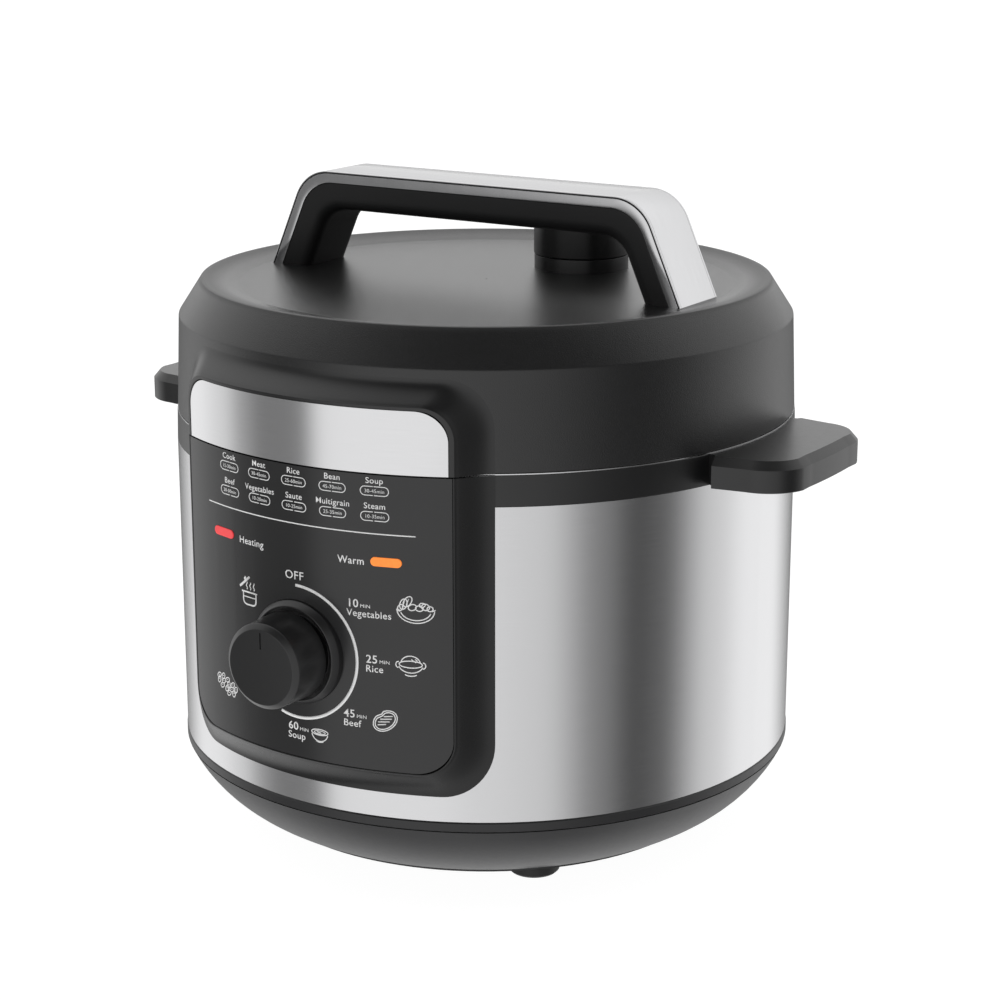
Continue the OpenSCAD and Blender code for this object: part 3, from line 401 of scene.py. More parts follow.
def lid_plastic():
    """The lid's black plastic: satin on the skirt and the chamfer, duller in the dish."""
    n = Nodes("lid_plastic")
    split = n.tree.nodes.new("ShaderNodeSeparateXYZ")
    n.link(n.coords, split.inputs[0])
    tone = n.ramp(n.noise(30.0), *varied((0.007, 0.007, 0.0073), 0.05))
    n.link(tone, n.shader.inputs["Base Color"])
    gloss = n.span(split.outputs["Z"], 0.30, 0.43, RIM_Z - 2 * MM, RIM_Z - 0.5 * MM)
    n.link(gloss, n.shader.inputs["Roughness"])
    n.bump(n.noise(2200.0, 2.0, 0.6), 0.5, 0.2 * MM)
    n.shade(Specular_IOR_Level=0.75)
    return n.material


PRINT = plastic("white_print", (0.93, 0.93, 0.93), 0.45, 2500.0, 0.05, 0.03)

# every CAD node that stays visible takes its slot's finish
for node_name, node_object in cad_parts.items():
    for material_slot in node_object.material_slots:
        finish = FINISH.get(material_slot.material.name.split(".")[0])
        if finish is not None:
            material_slot.material = finish

# ---------- camera and studio ----------

CAMERA_AZIMUTH = math.radians(32.47)
CAMERA_PITCH = math.radians(15.28)
CAMERA_PLACE = (0.5924, AXIS_Y - 0.9192, 0.4434)
LENS_MM = 86.64


def add_camera():
    data = bpy.data.cameras.new("camera")
    data.lens = LENS_MM
    data.sensor_width = 36
    camera = bpy.data.objects.new("camera", data)
    bpy.context.scene.collection.objects.link(camera)
    camera.location = CAMERA_PLACE
    camera.rotation_euler = (math.pi / 2 - CAMERA_PITCH, 0, CAMERA_AZIMUTH)
    bpy.context.scene.camera = camera


# brightness of the studio's walls: degrees round the object from the viewing side, level
STUDIO = [(-180, 1.15), (-150, 1.0), (-120, 0.95), (-104, 0.75), (-92, 0.35), (-84, 0.20),
    (-67, 0.20), (-57, 0.87), (-20, 0.87), (0, 0.77), (20, 0.70), (42, 0.24), (56, 0.07),
    (67, 0.12), (92, 0.72), (112, 1.0), (150, 1.05), (180, 1.15)]
CEILING_FROM = math.sin(math.radians(22))
CEILING_FULL = math.sin(math.radians(48))


def add_world():
    """A studio of soft walls and a ceiling, seen by the object; the camera sees plain white."""
    world = bpy.data.worlds.new("studio")
    bpy.context.scene.world = world
    world.use_nodes = True
    tree = world.node_tree
    new, link = tree.nodes.new, tree.links.new
    direction = new("ShaderNodeTexCoord").outputs["Generated"]
    turned = new("ShaderNodeMapping")
    turned.inputs["Rotation"].default_value = (0, 0, -CAMERA_AZIMUTH)
    link(direction, turned.inputs["Vector"])
    split = new("ShaderNodeSeparateXYZ")
    link(turned.outputs[0], split.inputs[0])
    front = new("ShaderNodeMath")
    front.operation = "MULTIPLY"
    front.inputs[1].default_value = -1
    link(split.outputs["Y"], front.inputs[0])
    angle = new("ShaderNodeMath")
    angle.operation = "ARCTAN2"
    link(split.outputs["X"], angle.inputs[0])
    link(front.outputs[0], angle.inputs[1])
    place_in_turn = new("ShaderNodeMapRange")
    place_in_turn.inputs["From Min"].default_value = -math.pi
    place_in_turn.inputs["From Max"].default_value = math.pi
    link(angle.outputs[0], place_in_turn.inputs["Value"])
    walls = new("ShaderNodeValToRGB")
    walls.color_ramp.interpolation = "EASE"
    stops = walls.color_ramp.elements
    while len(stops) < len(STUDIO):
        stops.new(0.5)
    brightest = max(level for _, level in STUDIO)
    for stop, (degrees, level) in zip(stops, STUDIO):
        stop.position = degrees / 360 + 0.5
        stop.color = (*[level / brightest] * 3, 1)
    link(place_in_turn.outputs["Result"], walls.inputs["Fac"])
    # the ceiling is dim on the viewing side and bright behind
    height = new("ShaderNodeMapRange")
    height.interpolation_type = "SMOOTHSTEP"
    height.inputs["From Min"].default_value = CEILING_FROM
    height.inputs["From Max"].default_value = CEILING_FULL
    link(split.outputs["Z"], height.inputs["Value"])
    side = new("ShaderNodeMapRange")
    side.interpolation_type = "SMOOTHSTEP"
    side.inputs["From Min"].default_value = -0.1
    side.inputs["From Max"].default_value = 0.45
    side.inputs["To Min"].default_value = 0.9
    side.inputs["To Max"].default_value = 0.035
    link(front.outputs[0], side.inputs["Value"])
    # low behind the object the walls fade, which rounds off the drum's edges
    rear = new("ShaderNodeMapRange")
    rear.inputs["From Min"].default_value = -0.68
    rear.inputs["From Max"].default_value = -0.94
    link(front.outputs[0], rear.inputs["Value"])
    low = new("ShaderNodeMapRange")
    low.inputs["From Min"].default_value = 0.02
    low.inputs["From Max"].default_value = -0.10
    low.inputs["To Max"].default_value = 0.86
    link(split.outputs["Z"], low.inputs["Value"])
    fade = new("ShaderNodeMath")
    fade.operation = "MULTIPLY"
    link(rear.outputs["Result"], fade.inputs[0])
    link(low.outputs["Result"], fade.inputs[1])
    faded = new("ShaderNodeMix")
    faded.data_type = "RGBA"
    faded.inputs["B"].default_value = (0, 0, 0, 1)
    link(fade.outputs[0], faded.inputs["Factor"])
    link(walls.outputs["Color"], faded.inputs["A"])
    blend = new("ShaderNodeMix")
    blend.data_type = "RGBA"
    link(height.outputs["Result"], blend.inputs["Factor"])
    link(faded.outputs["Result"], blend.inputs["A"])
    link(side.outputs["Result"], blend.inputs["B"])
    lit = new("ShaderNodeBackground")
    lit.inputs["Strength"].default_value = brightest
    link(blend.outputs["Result"], lit.inputs["Color"])
    plain = new("ShaderNodeBackground")
    plain.inputs["Color"].default_value = (1, 1, 1, 1)
    seen = new("ShaderNodeLightPath")
    choose = new("ShaderNodeMixShader")
    link(seen.outputs["Is Camera Ray"], choose.inputs["Fac"])
    link(lit.outputs[0], choose.inputs[1])
    link(plain.outputs[0], choose.inputs[2])
    link(choose.outputs[0], tree.nodes["World Output"].inputs["Surface"])


def add_floor():
    half = 14.0
    corners = [(-half, -half, 0), (half, -half, 0), (half, half, 0), (-half, half, 0)]
    floor = mesh_object("floor", corners, [(0, 1, 2, 3)])
    n = Nodes("floor_white")
    tone = n.ramp(n.noise(3.0), (0.17, 0.17, 0.17), (0.19, 0.19, 0.19))
    n.link(tone, n.shader.inputs["Base Color"])
    n.shade(Roughness=0.9, Specular_IOR_Level=0.1)
    n.shade(Emission_Color=(1, 1, 1, 1), Emission_Strength=0.96)
    floor.data.materials.append(n.material)
    # the steel mirrors the studio's walls, not the floor
    floor.visible_glossy = False


bpy.context.scene.view_settings.view_transform = "Standard"
add_camera()
add_world()
add_floor()

# ---------- lid ----------


def skirt_radius(z):
    """The lid's outer radius, which narrows from the skirt's edge up to the shoulder."""
    share = (z - SKIRT_Z) / (SHOULDER_Z - SKIRT_Z)
    return SKIRT_R + (SHOULDER_R - SKIRT_R) * share


FLOAT_PLACE = (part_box("float_valve")[0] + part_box("float_valve")[1]) / 2
FLOAT_HOLE_R = 4.6 * MM
VALVE_PLACE = (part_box("valve_cap")[0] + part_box("valve_cap")[1]) / 2
VALVE_R = half_width("valve_cap")
SEAT_R = VALVE_R - 0.3 * MM
SEAT_H = 6.4 * MM
RIM_LIP = 1.6 * MM
DISH_FLAT_R = 60 * MM


def lid_shell():
    """The turned cover: skirt, shoulder, chamfer, rim and dish, with the hole for the float."""
    middle, hole_middle = 0.5 * MM, 0.01 * MM
    outer = [(SKIRT_R, SKIRT_Z), (SHOULDER_R, SHOULDER_Z), (RIM_R, RIM_Z),
        (RIM_R - RIM_LIP, RIM_Z + 0.05 * MM), (DISH_R, DISH_Z), (DISH_FLAT_R, DISH_Z),
        (middle, DISH_Z)]
    inner = [(middle, DISH_Z - COVER_T), (DISH_R, DISH_Z - COVER_T),
        (RIM_R - 4 * MM, RIM_Z - COVER_T), (SHOULDER_R - COVER_T, SHOULDER_Z - 1 * MM),
        (SKIRT_R - COVER_T, SKIRT_Z)]
    radii = [r * MM for r in (0.5, 2.2, 0.9, 0.6, 5, 0, 0, 0, 2, 2, 2, 0.4)]
    shell = lathe("lid_shell", rounded(outer + inner, radii, 6), (0, AXIS_Y, 0), segments=ROUND)
    section = [(hole_middle, -COVER_T * 2), (FLOAT_HOLE_R, -COVER_T * 2), (FLOAT_HOLE_R, COVER_T),
        (hole_middle, COVER_T)]
    hole = lathe("float_hole", section, (FLOAT_PLACE[0], FLOAT_PLACE[1], DISH_Z), segments=64)
    cut(shell, hole)
    return shell


def collar_ring(name, centre, inner_r, outer_r, height, round_r):
    """A turned ring that stands on the dish, sunk a little into it."""
    sunk = -0.4 * MM
    section = [(inner_r, sunk), (outer_r, sunk), (outer_r, height), (inner_r, height)]
    profile = rounded(section, [0, 0, round_r, round_r * 0.8], 4)
    return lathe(name, profile, (centre[0], centre[1], DISH_Z), segments=96)


place(lid_shell(), "lid", lid_plastic(), "black_plastic", "lid_cover")
valve_seat = collar_ring("valve_seat", VALVE_PLACE, 5 * MM, SEAT_R, SEAT_H, 0.15 * MM)
place(valve_seat, "lid", FINISH["cap_plastic"], "black_plastic", "lid_cover")
float_bezel = collar_ring("float_bezel", FLOAT_PLACE, FLOAT_HOLE_R, FLOAT_HOLE_R + 1.6 * MM,
    0.7 * MM, 0.4 * MM)
place(float_bezel, "lid", FINISH["black_plastic"], "black_plastic", "lid_cover")

# ---------- the boss round the printed face ----------


def outline(half, open_z, turn_z, corner, side_steps=24, corner_steps=14, across_steps=40):
    """A U on the drum, open at open_z, with two corners at turn_z: (arc length, height)."""
    side = 1 if open_z > turn_z else -1
    start = turn_z + side * corner
    left = [(-half, open_z + (start - open_z) * i / side_steps)
        for i in range(side_steps)]
    bend = [(-half + corner - corner * math.cos(a), start - side * corner * math.sin(a))
        for a in (math.pi / 2 * i / corner_steps for i in range(corner_steps))]
    across = [(-half + corner + 2 * (half - corner) * i / across_steps, turn_z)
        for i in range(across_steps // 2)]
    first = left + bend + across
    return first + [(0, turn_z)] + [(-u, z) for u, z in reversed(first)]


def boss(name, face_half, open_z, turn_z, corner, foot_corner, foot_radius):
    """The raised surround: inner wall, rounded lip, hollow flank down to the drum, and its back."""
    gap = 0.15 * MM
    half = PANEL_R * face_half + gap
    foot_half = PANEL_R * (LIP_HALF + FLANK)
    side = 1 if open_z > turn_z else -1
    inside = outline(half, open_z, turn_z - side * gap, corner)
    outside = outline(foot_half, open_z, turn_z - side * FOOT_DROP, foot_corner)
    lip = (PANEL_R * LIP_HALF - half) / (foot_half - half)
    flank_steps = 16
    # share of the way from the inner to the outer outline, part of the surround, its own value
    section = [(0, "seat", 0), (0, "lip", 0.55 * MM), (0.004, "lip", 0.2 * MM),
        (0.012, "lip", 0.03 * MM), (0.02, "lip", 0), (lip - 0.014, "lip", 0),
        (lip - 0.006, "lip", 0.02 * MM), (lip, "lip", 0.10 * MM)]
    section += [(lip + (1 - lip) * q / flank_steps, "flank", q / flank_steps)
        for q in range(1, flank_steps + 1)]
    section += [(1, "back", 0), (0.5, "back", 0), (0, "back", 0)]
    rings = []
    for (u0, z0), (u1, z1) in zip(inside, outside):
        ring = []
        for share, kind, value in section:
            u, z = u0 + (u1 - u0) * share, z0 + (z1 - z0) * share
            foot = foot_radius(z)
            radius = {
                "seat": PANEL_R - 1.5 * MM,
                "lip": LIP_R - value,
                "flank": foot + (LIP_R - foot) * (1 - value) ** 2 * (1 + 0.75 * value),
                "back": foot - 0.35 * MM,
            }[kind]
            ring.append(on_drum(u, z, radius))
        rings.append(ring)
    return mesh_object(name, *loft(rings), sharp=40)


BADGE_CORNER = 13 * MM
BADGE_FOOT_CORNER = 22 * MM
PANEL_CORNER = 15 * MM
PANEL_FOOT_CORNER = 24 * MM
lid_boss = boss("lid_boss", BADGE_HALF, SKIRT_Z + 0.02 * MM, BADGE_Z, BADGE_CORNER,
    BADGE_FOOT_CORNER, skirt_radius)
place(lid_boss, "lid", FINISH["black_plastic"], "black_plastic", "lid_cover")
surround = boss("panel_surround", PANEL_HALF, PANEL_HI[2] + 0.1 * MM, PANEL_Z, PANEL_CORNER,
    PANEL_FOOT_CORNER, lambda z: DRUM_R + 0.38 * MM)
place(surround, BODY, FINISH["frame_plastic"], "frame_plastic", "panel_frame")

# ---------- handle ring and side handles ----------

SIDE_REACH = half_width("handle_ring")


def ring_band():
    """The ring under the lid, with the shelf that the outer pot's flange lies on."""
    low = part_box("handle_ring")[0][2]
    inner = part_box("outer_pot")[1][0] + 1 * MM
    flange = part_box("outer_pot")[1][2] - 1.2 * MM
    shelf, well = flange - 3 * MM, inner - 10.8 * MM
    skirt, tucked = DRUM_R - 4 * MM, DRUM_R - 0.9 * MM
    section = [(DRUM_R, RING_Z), (SKIRT_R + 0.25 * MM, RING_TOP), (inner, RING_TOP),
        (inner, flange), (well, flange), (well, shelf), (skirt, shelf), (skirt, low),
        (tucked, low), (tucked, RING_Z)]
    radii = [0.5 * MM, 0.6 * MM, 0.8 * MM, 0, 0, 0, 0, 0, 0, 0]
    return lathe("ring_band", rounded(section, radii, 4), (0, AXIS_Y, 0), segments=ROUND)


def painted_seam_highlight():
    """A thin steel strip between the ring and the lid: a painted highlight that stands in for the light
    caught on the ring's top edge.
    """
    outer = SKIRT_R + 0.1 * MM
    inner, low, high = outer - 2 * MM, RING_TOP - 0.1 * MM, RING_TOP + 0.35 * MM
    section = [(inner, low), (outer, low), (outer, high), (inner, high)]
    return lathe("painted_seam_highlight", section, (0, AXIS_Y, 0), segments=ROUND)


def side_handle(sign):
    """A flat grip with round corners, a flat bevel at its top edge and a narrow neck at the ring."""
    root, neck = DRUM_R - 6 * MM, DRUM_R - 2.6 * MM
    root_half, neck_half, neck_flare = 39 * MM, 40 * MM, 44.7 * MM
    bevel_h, bevel_w = 3.6 * MM, 3.1 * MM
    corner, bulge = 20 * MM, 0.7 * MM
    centre_y = 42.4 * MM - corner

    def plan(inset):
        """Half of the outline, then its mirror image, moved inwards by the inset."""
        end, turn = SIDE_REACH - inset, corner - inset
        right = [(root, -root_half), (neck, -neck_half), (neck + 0.9 * MM, -neck_flare + inset)]
        right += [(SIDE_REACH - corner + turn * math.sin(a), -centre_y - turn * math.cos(a))
            for a in (math.pi / 2 * i / 16 for i in range(15))]
        right += [(end - bulge * (y / centre_y) ** 2, y)
            for y in (-centre_y * (1 - i / 8) for i in range(1, 8))]
        return right + [(end, 0)] + [(x, -y) for x, y in reversed(right)]

    levels = [(RING_Z + 0.1 * MM, 0.35 * MM), (RING_Z + 0.4 * MM, 0),
        (RING_TOP - bevel_h, 0), (RING_TOP - 0.05 * MM, bevel_w)]
    rings = [[(sign * x, AXIS_Y + y, z) for x, y in plan(inset)] for z, inset in levels]
    name = "side_handle_" + ("right" if sign > 0 else "left")
    return mesh_object(name, *loft(rings), sharp=25)


place(ring_band(), BODY, FINISH["black_plastic"], "black_plastic", "handle_ring")
# a thin steel strip as the seam's painted highlight
place(painted_seam_highlight(), BODY, FINISH["drum_steel"], "drum_steel", "handle_ring")
for sign in (-1, 1):
    place(side_handle(sign), BODY, FINISH["black_plastic"], "black_plastic", "handle_ring")

# ---------- lid handle ----------

BEND_R = 20 * MM
# how much wider the inner bend is than one that keeps the outer bend's centre
BEND_SLACK = 0.7
STRAIGHT = 77 * MM
LEG = math.radians(66.3)
HANDLE_Y = (HANDLE_LO[1] + HANDLE_HI[1]) / 2
# the chrome strips at the sides, and the plate between them
HALF = HANDLE_W / 2
STRIP = 1.2 * MM
STRIP_DEEP = 5.2 * MM
PLATE_T = 0.8 * MM
# the painted shadow line in each strip: a black filler standing in for the shadow gap under the plate's
# edge
LINE_TOP = 0.45 * MM
LINE_LOW = 1.05 * MM
LINE_DEEP = 0.5 * MM
# the soft grip
GRIP_T = 18 * MM
GRIP_ROUND = 8.5 * MM


def arch_path(depth, leg_steps=10, bend_steps=20, top_steps=24):
    """Points (x, z) along the arch at a depth below its outer face, left foot to right foot."""
    slack = BEND_SLACK * depth
    radius = BEND_R - depth + slack
    centre_x = STRAIGHT - slack * math.tan(LEG / 2)
    centre_z = HANDLE_TOP - BEND_R - slack
    bend = [(centre_x + radius * math.sin(a), centre_z + radius * math.cos(a))
        for a in (LEG * i / bend_steps for i in range(bend_steps + 1))]
    end_x, end_z = bend[-1]
    foot_x = end_x + (end_z - DISH_Z) / math.tan(LEG)
    leg = [(end_x + (foot_x - end_x) * i / leg_steps, end_z + (DISH_Z - end_z) * i / leg_steps)
        for i in range(1, leg_steps + 1)]
    top = [(centre_x * i / top_steps, HANDLE_TOP - depth) for i in range(1, top_steps)]
    half = top + bend + leg
    return [(-x, z) for x, z in reversed(half)] + [(0, HANDLE_TOP - depth)] + half


def arch_sweep(name, section, sharp=35):
    """Sweeps a closed section of (across, depth) points along the arch."""
    paths = [arch_path(depth) for _, depth in section]
    rings = [[(path[i][0], HANDLE_Y + across, path[i][1])
        for (across, _), path in zip(section, paths)] for i in range(len(paths[0]))]
    return mesh_object(name, *loft(rings), sharp=sharp)


def handle_trim():
    """Chrome strips on both sides, a slot in each for the black filler of painted shadow, and the
    plate's seat on top.
    """
    inside, slot, seat = HALF - STRIP, HALF - LINE_DEEP, 1.6 * MM
    side = [(HALF, STRIP_DEEP), (HALF, LINE_LOW), (slot, LINE_LOW), (slot, LINE_TOP),
        (HALF, LINE_TOP), (HALF, 0), (inside, 0), (inside, PLATE_T)]
    low = [(inside, STRIP_DEEP), (inside, seat), (-inside, seat), (-inside, STRIP_DEEP)]
    points = [(-x, d) for x, d in side] + side[::-1] + low
    side_radii = [0.2, 0.1, 0, 0, 0.1, 0.3, 0.1, 0]
    radii = [r * MM for r in side_radii + side_radii[::-1] + [0, 0, 0, 0]]
    return arch_sweep("handle_trim", rounded(points, radii, 3))


def painted_shadow_line(side):
    """A black filler in the strip's slot: painted shadow for the gap between the plate and the strip."""
    play = 0.02 * MM
    out, deep = HALF - 0.15 * MM, HALF - LINE_DEEP - play
    section = [(deep, LINE_TOP - play), (out, LINE_TOP - play), (out, LINE_LOW + play),
        (deep, LINE_LOW + play)]
    name = "handle_line_" + ("back" if side > 0 else "front")
    return arch_sweep(name, [(side * x, d) for x, d in section])


def handle_inlay():
    """The brushed plate on top, a hair below the strips."""
    half, edge = HALF - STRIP - 0.12 * MM, 0.12 * MM
    top, bottom = 0.02 * MM, PLATE_T - 0.05 * MM
    points = [(-half, bottom), (-half, top), (half, top), (half, bottom)]
    return arch_sweep("handle_inlay", rounded(points, [0, edge, edge, 0], 3))


def handle_grip():
    """The soft body of the arch, round below, with a tongue up into the trim."""
    half, neck = HALF - 0.15 * MM, HALF - STRIP - 0.05 * MM
    top, step, edge = 1.65 * MM, STRIP_DEEP + 0.1 * MM, 0.4 * MM
    points = [(-neck, top), (neck, top), (neck, step), (half, step), (half, GRIP_T),
        (-half, GRIP_T), (-half, step), (-neck, step)]
    radii = [0, 0, 0, edge, GRIP_ROUND, GRIP_ROUND, edge, 0]
    return arch_sweep("soft_grip", rounded(points, radii, 10))


place(handle_trim(), "lid", FINISH["handle_chrome"], "handle_chrome", "handle_shell")
for sign in (-1, 1):
    # black fillers as painted shadow under the plate's edges
    place(painted_shadow_line(sign), "lid", FINISH["grip_plastic"], "grip_plastic", "handle_grip")
place(handle_inlay(), "lid", FINISH["handle_plate"], "handle_plate", "handle_top_plate")
place(handle_grip(), "lid", FINISH["grip_plastic"], "grip_plastic", "handle_grip")

# ---------- knob, collar and valve cap ----------

KNOB_FACE = AXIS_Y - KNOB_LO[1]
KNOB_BACK = AXIS_Y - KNOB_HI[1]
COLLAR_FRONT = AXIS_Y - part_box("knob_collar")[0][1]
COLLAR_R = half_width("knob_collar")


def timer_knob():
    """A hollow knob: chamfered face, stem round the shaft, and a groove as its pointer."""
    middle, edge, face_r = 0.05 * MM, KNOB_R - 0.5 * MM, KNOB_R - 2.8 * MM
    inside_r, ceiling = edge - 2.2 * MM, KNOB_FACE - 4 * MM
    stem_r, bore_r, bore_end = 5.5 * MM, 3.05 * MM, KNOB_FACE - 5.9 * MM
    section = [(middle, KNOB_FACE), (face_r, KNOB_FACE), (edge, KNOB_FACE - 2 * MM),
        (KNOB_R, KNOB_BACK), (inside_r, KNOB_BACK), (inside_r, ceiling), (stem_r, ceiling),
        (stem_r, KNOB_BACK), (bore_r, KNOB_BACK), (bore_r, bore_end), (middle, bore_end)]
    radii = [0, 0.5 * MM, 0.7 * MM, 0.4 * MM, 0.3 * MM, 0, 0, 0, 0, 0, 0]
    knob = lathe("knob_body", rounded(section, radii, 5), (0, AXIS_Y, TIMER_Z), "Y", 128)
    line_half, line_l, line_d = 0.4 * MM, 7.2 * MM, 0.5 * MM
    top = TIMER_Z + face_r - 1.2 * MM
    plan = [(-line_half, top - line_l), (line_half, top - line_l), (line_half, top),
        (-line_half, top)]
    depths = AXIS_Y - KNOB_FACE - 1 * MM, AXIS_Y - KNOB_FACE + line_d
    corners = [(x, y, z) for y in depths for x, z in plan]
    groove = mesh_object("pointer_groove", corners,
        [(0, 1, 2, 3), (7, 6, 5, 4), (0, 4, 5, 1), (1, 5, 6, 2), (2, 6, 7, 3), (3, 7, 4, 0)])
    cut(knob, groove)
    return knob


def knob_collar():
    """The dished collar behind the knob."""
    bore_r, wall_r, back = 4.5 * MM, COLLAR_R - 3.2 * MM, PANEL_R - 3.4 * MM
    dish, under = COLLAR_FRONT - 4.5 * MM, COLLAR_FRONT - 6 * MM
    section = [(bore_r, dish), (COLLAR_R - 6.5 * MM, dish), (COLLAR_R - 2.2 * MM, COLLAR_FRONT),
        (COLLAR_R, PANEL_R + 0.9 * MM), (COLLAR_R, back), (wall_r, back), (wall_r, under),
        (bore_r, under)]
    radii = [0, 2 * MM, 0.6 * MM, 0.9 * MM, 0, 0, 0, 0]
    return lathe("collar", rounded(section, radii, 5), (0, AXIS_Y, TIMER_Z), "Y", 128)


def steam_cap():
    """The hollow cap over the steam weight, with a sleeve inside."""
    lo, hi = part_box("valve_cap")
    height = hi[2] - lo[2]
    middle, wall = 0.05 * MM, 2 * MM
    sleeve_r, bore_r, bore_top = 11 * MM, 9.05 * MM, height - 5 * MM
    section = [(middle, height), (VALVE_R - 0.1 * MM, height), (VALVE_R, 0), (VALVE_R - wall, 0),
        (VALVE_R - wall, height - wall), (sleeve_r, height - wall), (sleeve_r, 0), (bore_r, 0),
        (bore_r, bore_top), (middle, bore_top)]
    radii = [0, 2.2 * MM, 0.5 * MM, 0.4 * MM, 0, 0, 0, 0, 0, 0]
    centre = VALVE_PLACE[0], VALVE_PLACE[1], lo[2]
    return lathe("steam_cap", rounded(section, radii, 6), centre, segments=128)


place(timer_knob(), "timer", FINISH["knob_plastic"], "knob_plastic", "timer_knob")
place(knob_collar(), BODY, FINISH["knob_plastic"], "knob_plastic", "knob_collar")
place(steam_cap(), "steam_cap", FINISH["cap_plastic"], "cap_plastic", "valve_cap")

# ---------- printed face ----------

INK_LIFT = 0.06 * MM
INK_T = 0.05 * MM
PANEL_R_MM = PANEL_R / MM


class Ink:
    """Collects flat printed shapes, in millimetres on the unrolled face, and bends them onto it."""

    def __init__(self):
        self.verts, self.faces = [], []

    def add(self, verts, faces):
        start = len(self.verts)
        self.verts += verts
        self.faces += [tuple(start + i for i in face) for face in faces]

    def line(self, points, width, closed=False):
        """A stroke of even width along a smooth polyline."""
        count = len(points)
        left, right = [], []
        for i, point in enumerate(points):
            before = points[i - 1] if closed or i else point
            after = points[(i + 1) % count] if closed or i < count - 1 else point
            way = Vector(after) - Vector(before)
            across = Vector((-way.y, way.x)).normalized() * width / 2
            left.append(tuple(Vector(point) + across))
            right.append(tuple(Vector(point) - across))
        turns = count if closed else count - 1
        faces = [(i, (i + 1) % count, count + (i + 1) % count, count + i)
            for i in range(turns)]
        self.add(left + right, faces)

    def text(self, body, u, z, size, align="CENTER", bold=0.007, wide=1.04):
        """Letters of the given height, with the middle of their line at z."""
        curve = bpy.data.curves.new("letters", "FONT")
        curve.body = body
        curve.align_x = align
        curve.size = size
        curve.offset = bold * size
        curve.space_character = 1.06
        curve.resolution_u = 4
        letters = bpy.data.objects.new("letters", curve)
        bpy.context.scene.collection.objects.link(letters)
        graph = bpy.context.evaluated_depsgraph_get()
        mesh = bpy.data.meshes.new_from_object(letters.evaluated_get(graph))
        self.add([(u + v.co.x * wide, z + v.co.y - size * 0.35) for v in mesh.vertices],
            [tuple(p.vertices) for p in mesh.polygons])
        bpy.data.objects.remove(letters)
        bpy.data.curves.remove(curve)
        bpy.data.meshes.remove(mesh)

    def build(self, name):
        points = [on_drum(u * MM, z * MM, PANEL_R + INK_LIFT) for u, z in self.verts]
        obj = mesh_object(name, points, self.faces)
        if obj.data.polygons[0].normal.y > 0:
            obj.data.flip_normals()
        body = obj.modifiers.new("thickness", "SOLIDIFY")
        body.thickness = INK_T
        body.offset = -1
        return obj


def ellipse(u, z, a, b, start=0, end=360, tilt=0, steps=28):
    """Points of an ellipse's arc, angles in degrees."""
    c, s = math.cos(math.radians(tilt)), math.sin(math.radians(tilt))
    out = []
    for i in range(steps + 1):
        turn = math.radians(start + (end - start) * i / steps)
        x, y = a * math.cos(turn), b * math.sin(turn)
        out.append((u + x * c - y * s, z + x * s + y * c))
    return out


def ring_points(*args, **kwargs):
    """A closed ellipse, without its repeated last point."""
    return ellipse(*args, **kwargs)[:-1]


def at(angle):
    """Arc length in millimetres of an angle from the front, in degrees."""
    return math.radians(angle) * PANEL_R_MM


# the width of the icons' strokes, in millimetres
FINE = 0.47


def salad_bowl(ink, u, z):
    ink.line(ellipse(u, z, 8.0, 5.6, 180, 360), FINE)
    ink.line(ellipse(u, z, 6.6, 4.4, 195, 345), FINE)
    ink.line([(u - 8.4, z), (u - 6.8, z - 0.2)], FINE)
    ink.line([(u + 6.8, z - 0.2), (u + 8.4, z + 0.5)], FINE)
    leaves = ((-5.2, 2.4, 2.4, 1.5, 70), (-3.4, 3.6, 2.6, 1.5, 55), (-6.6, 0.8, 1.6, 1.0, 60),
        (-1.4, 1.2, 1.8, 1.3, 20), (1.6, 0.9, 1.7, 1.2, 0), (4.2, 1.6, 1.7, 1.4, -15),
        (6.1, 0.9, 1.3, 1.1, 0), (2.8, 2.4, 1.3, 0.9, 10))
    for x, y, a, b, tilt in leaves:
        ink.line(ring_points(u + x, z + y, a, b, tilt=tilt, steps=14), FINE, closed=True)
    for x, y, *_ in leaves[:2]:
        ink.line([(u + x - 0.6, z + y - 1.5), (u + x + 0.5, z + y + 1.3)], FINE * 0.8)


def rice_bowl(ink, u, z):
    ink.line(ellipse(u, z, 5.3, 3.7, 195, 345), FINE)
    ink.line(ring_points(u, z, 5.0, 1.5), FINE, closed=True)
    ink.line(ellipse(u, z + 0.3, 4.2, 3.4, 12, 168), FINE)
    for side in (-1, 1):
        start, end = 90 * (1 - side) - 110, 90 * (1 - side) + 100
        ink.line(ellipse(u + side * 5.4, z - 0.3, 1.0, 1.3, start, end), FINE)
    ink.line(ellipse(u, z - 4.4, 2.4, 0.7, 180, 360), FINE)
    for x, y in ((0.3, 2.2), (1.4, 1.6), (1.9, 2.4)):
        ink.line([(u + x, z + y), (u + x + 1.0, z + y - 0.7)], FINE)


def steak(ink, u, z):
    for a, b in ((5.9, 4.0), (5.0, 3.2)):
        dent = Vector((u - 2.6, z + 3.4))
        pushed = []
        for point in ring_points(u, z, a, b, tilt=35, steps=36):
            away = Vector(point) - dent
            push = 0.9 * math.exp(-(away.length / 2.2) ** 2)
            pushed.append(tuple(Vector(point) + away.normalized() * push))
        ink.line(pushed, FINE, closed=True)
    for y, x0, x1 in ((1.9, -0.6, 3.4), (0.6, -2.2, 3.0), (-0.7, -3.2, 2.0), (-2.0, -3.4, 0.4)):
        ink.line([(u + x0, z + y), (u + x1, z + y + 0.5)], FINE)


def soup_bowl(ink, u, z):
    ink.line(ring_points(u, z + 1.3, 4.1, 1.3), FINE, closed=True)
    ink.line(ring_points(u, z + 1.2, 2.8, 0.7, steps=20), FINE * 0.8, closed=True)
    ink.line(ellipse(u, z + 1.0, 4.0, 3.8, 190, 350), FINE)
    ink.line(ellipse(u, z - 2.5, 1.7, 0.7, 180, 360), FINE)
    ink.line([(u - 1.3, z + 1.4), (u + 0.7, z + 1.0)], FINE)


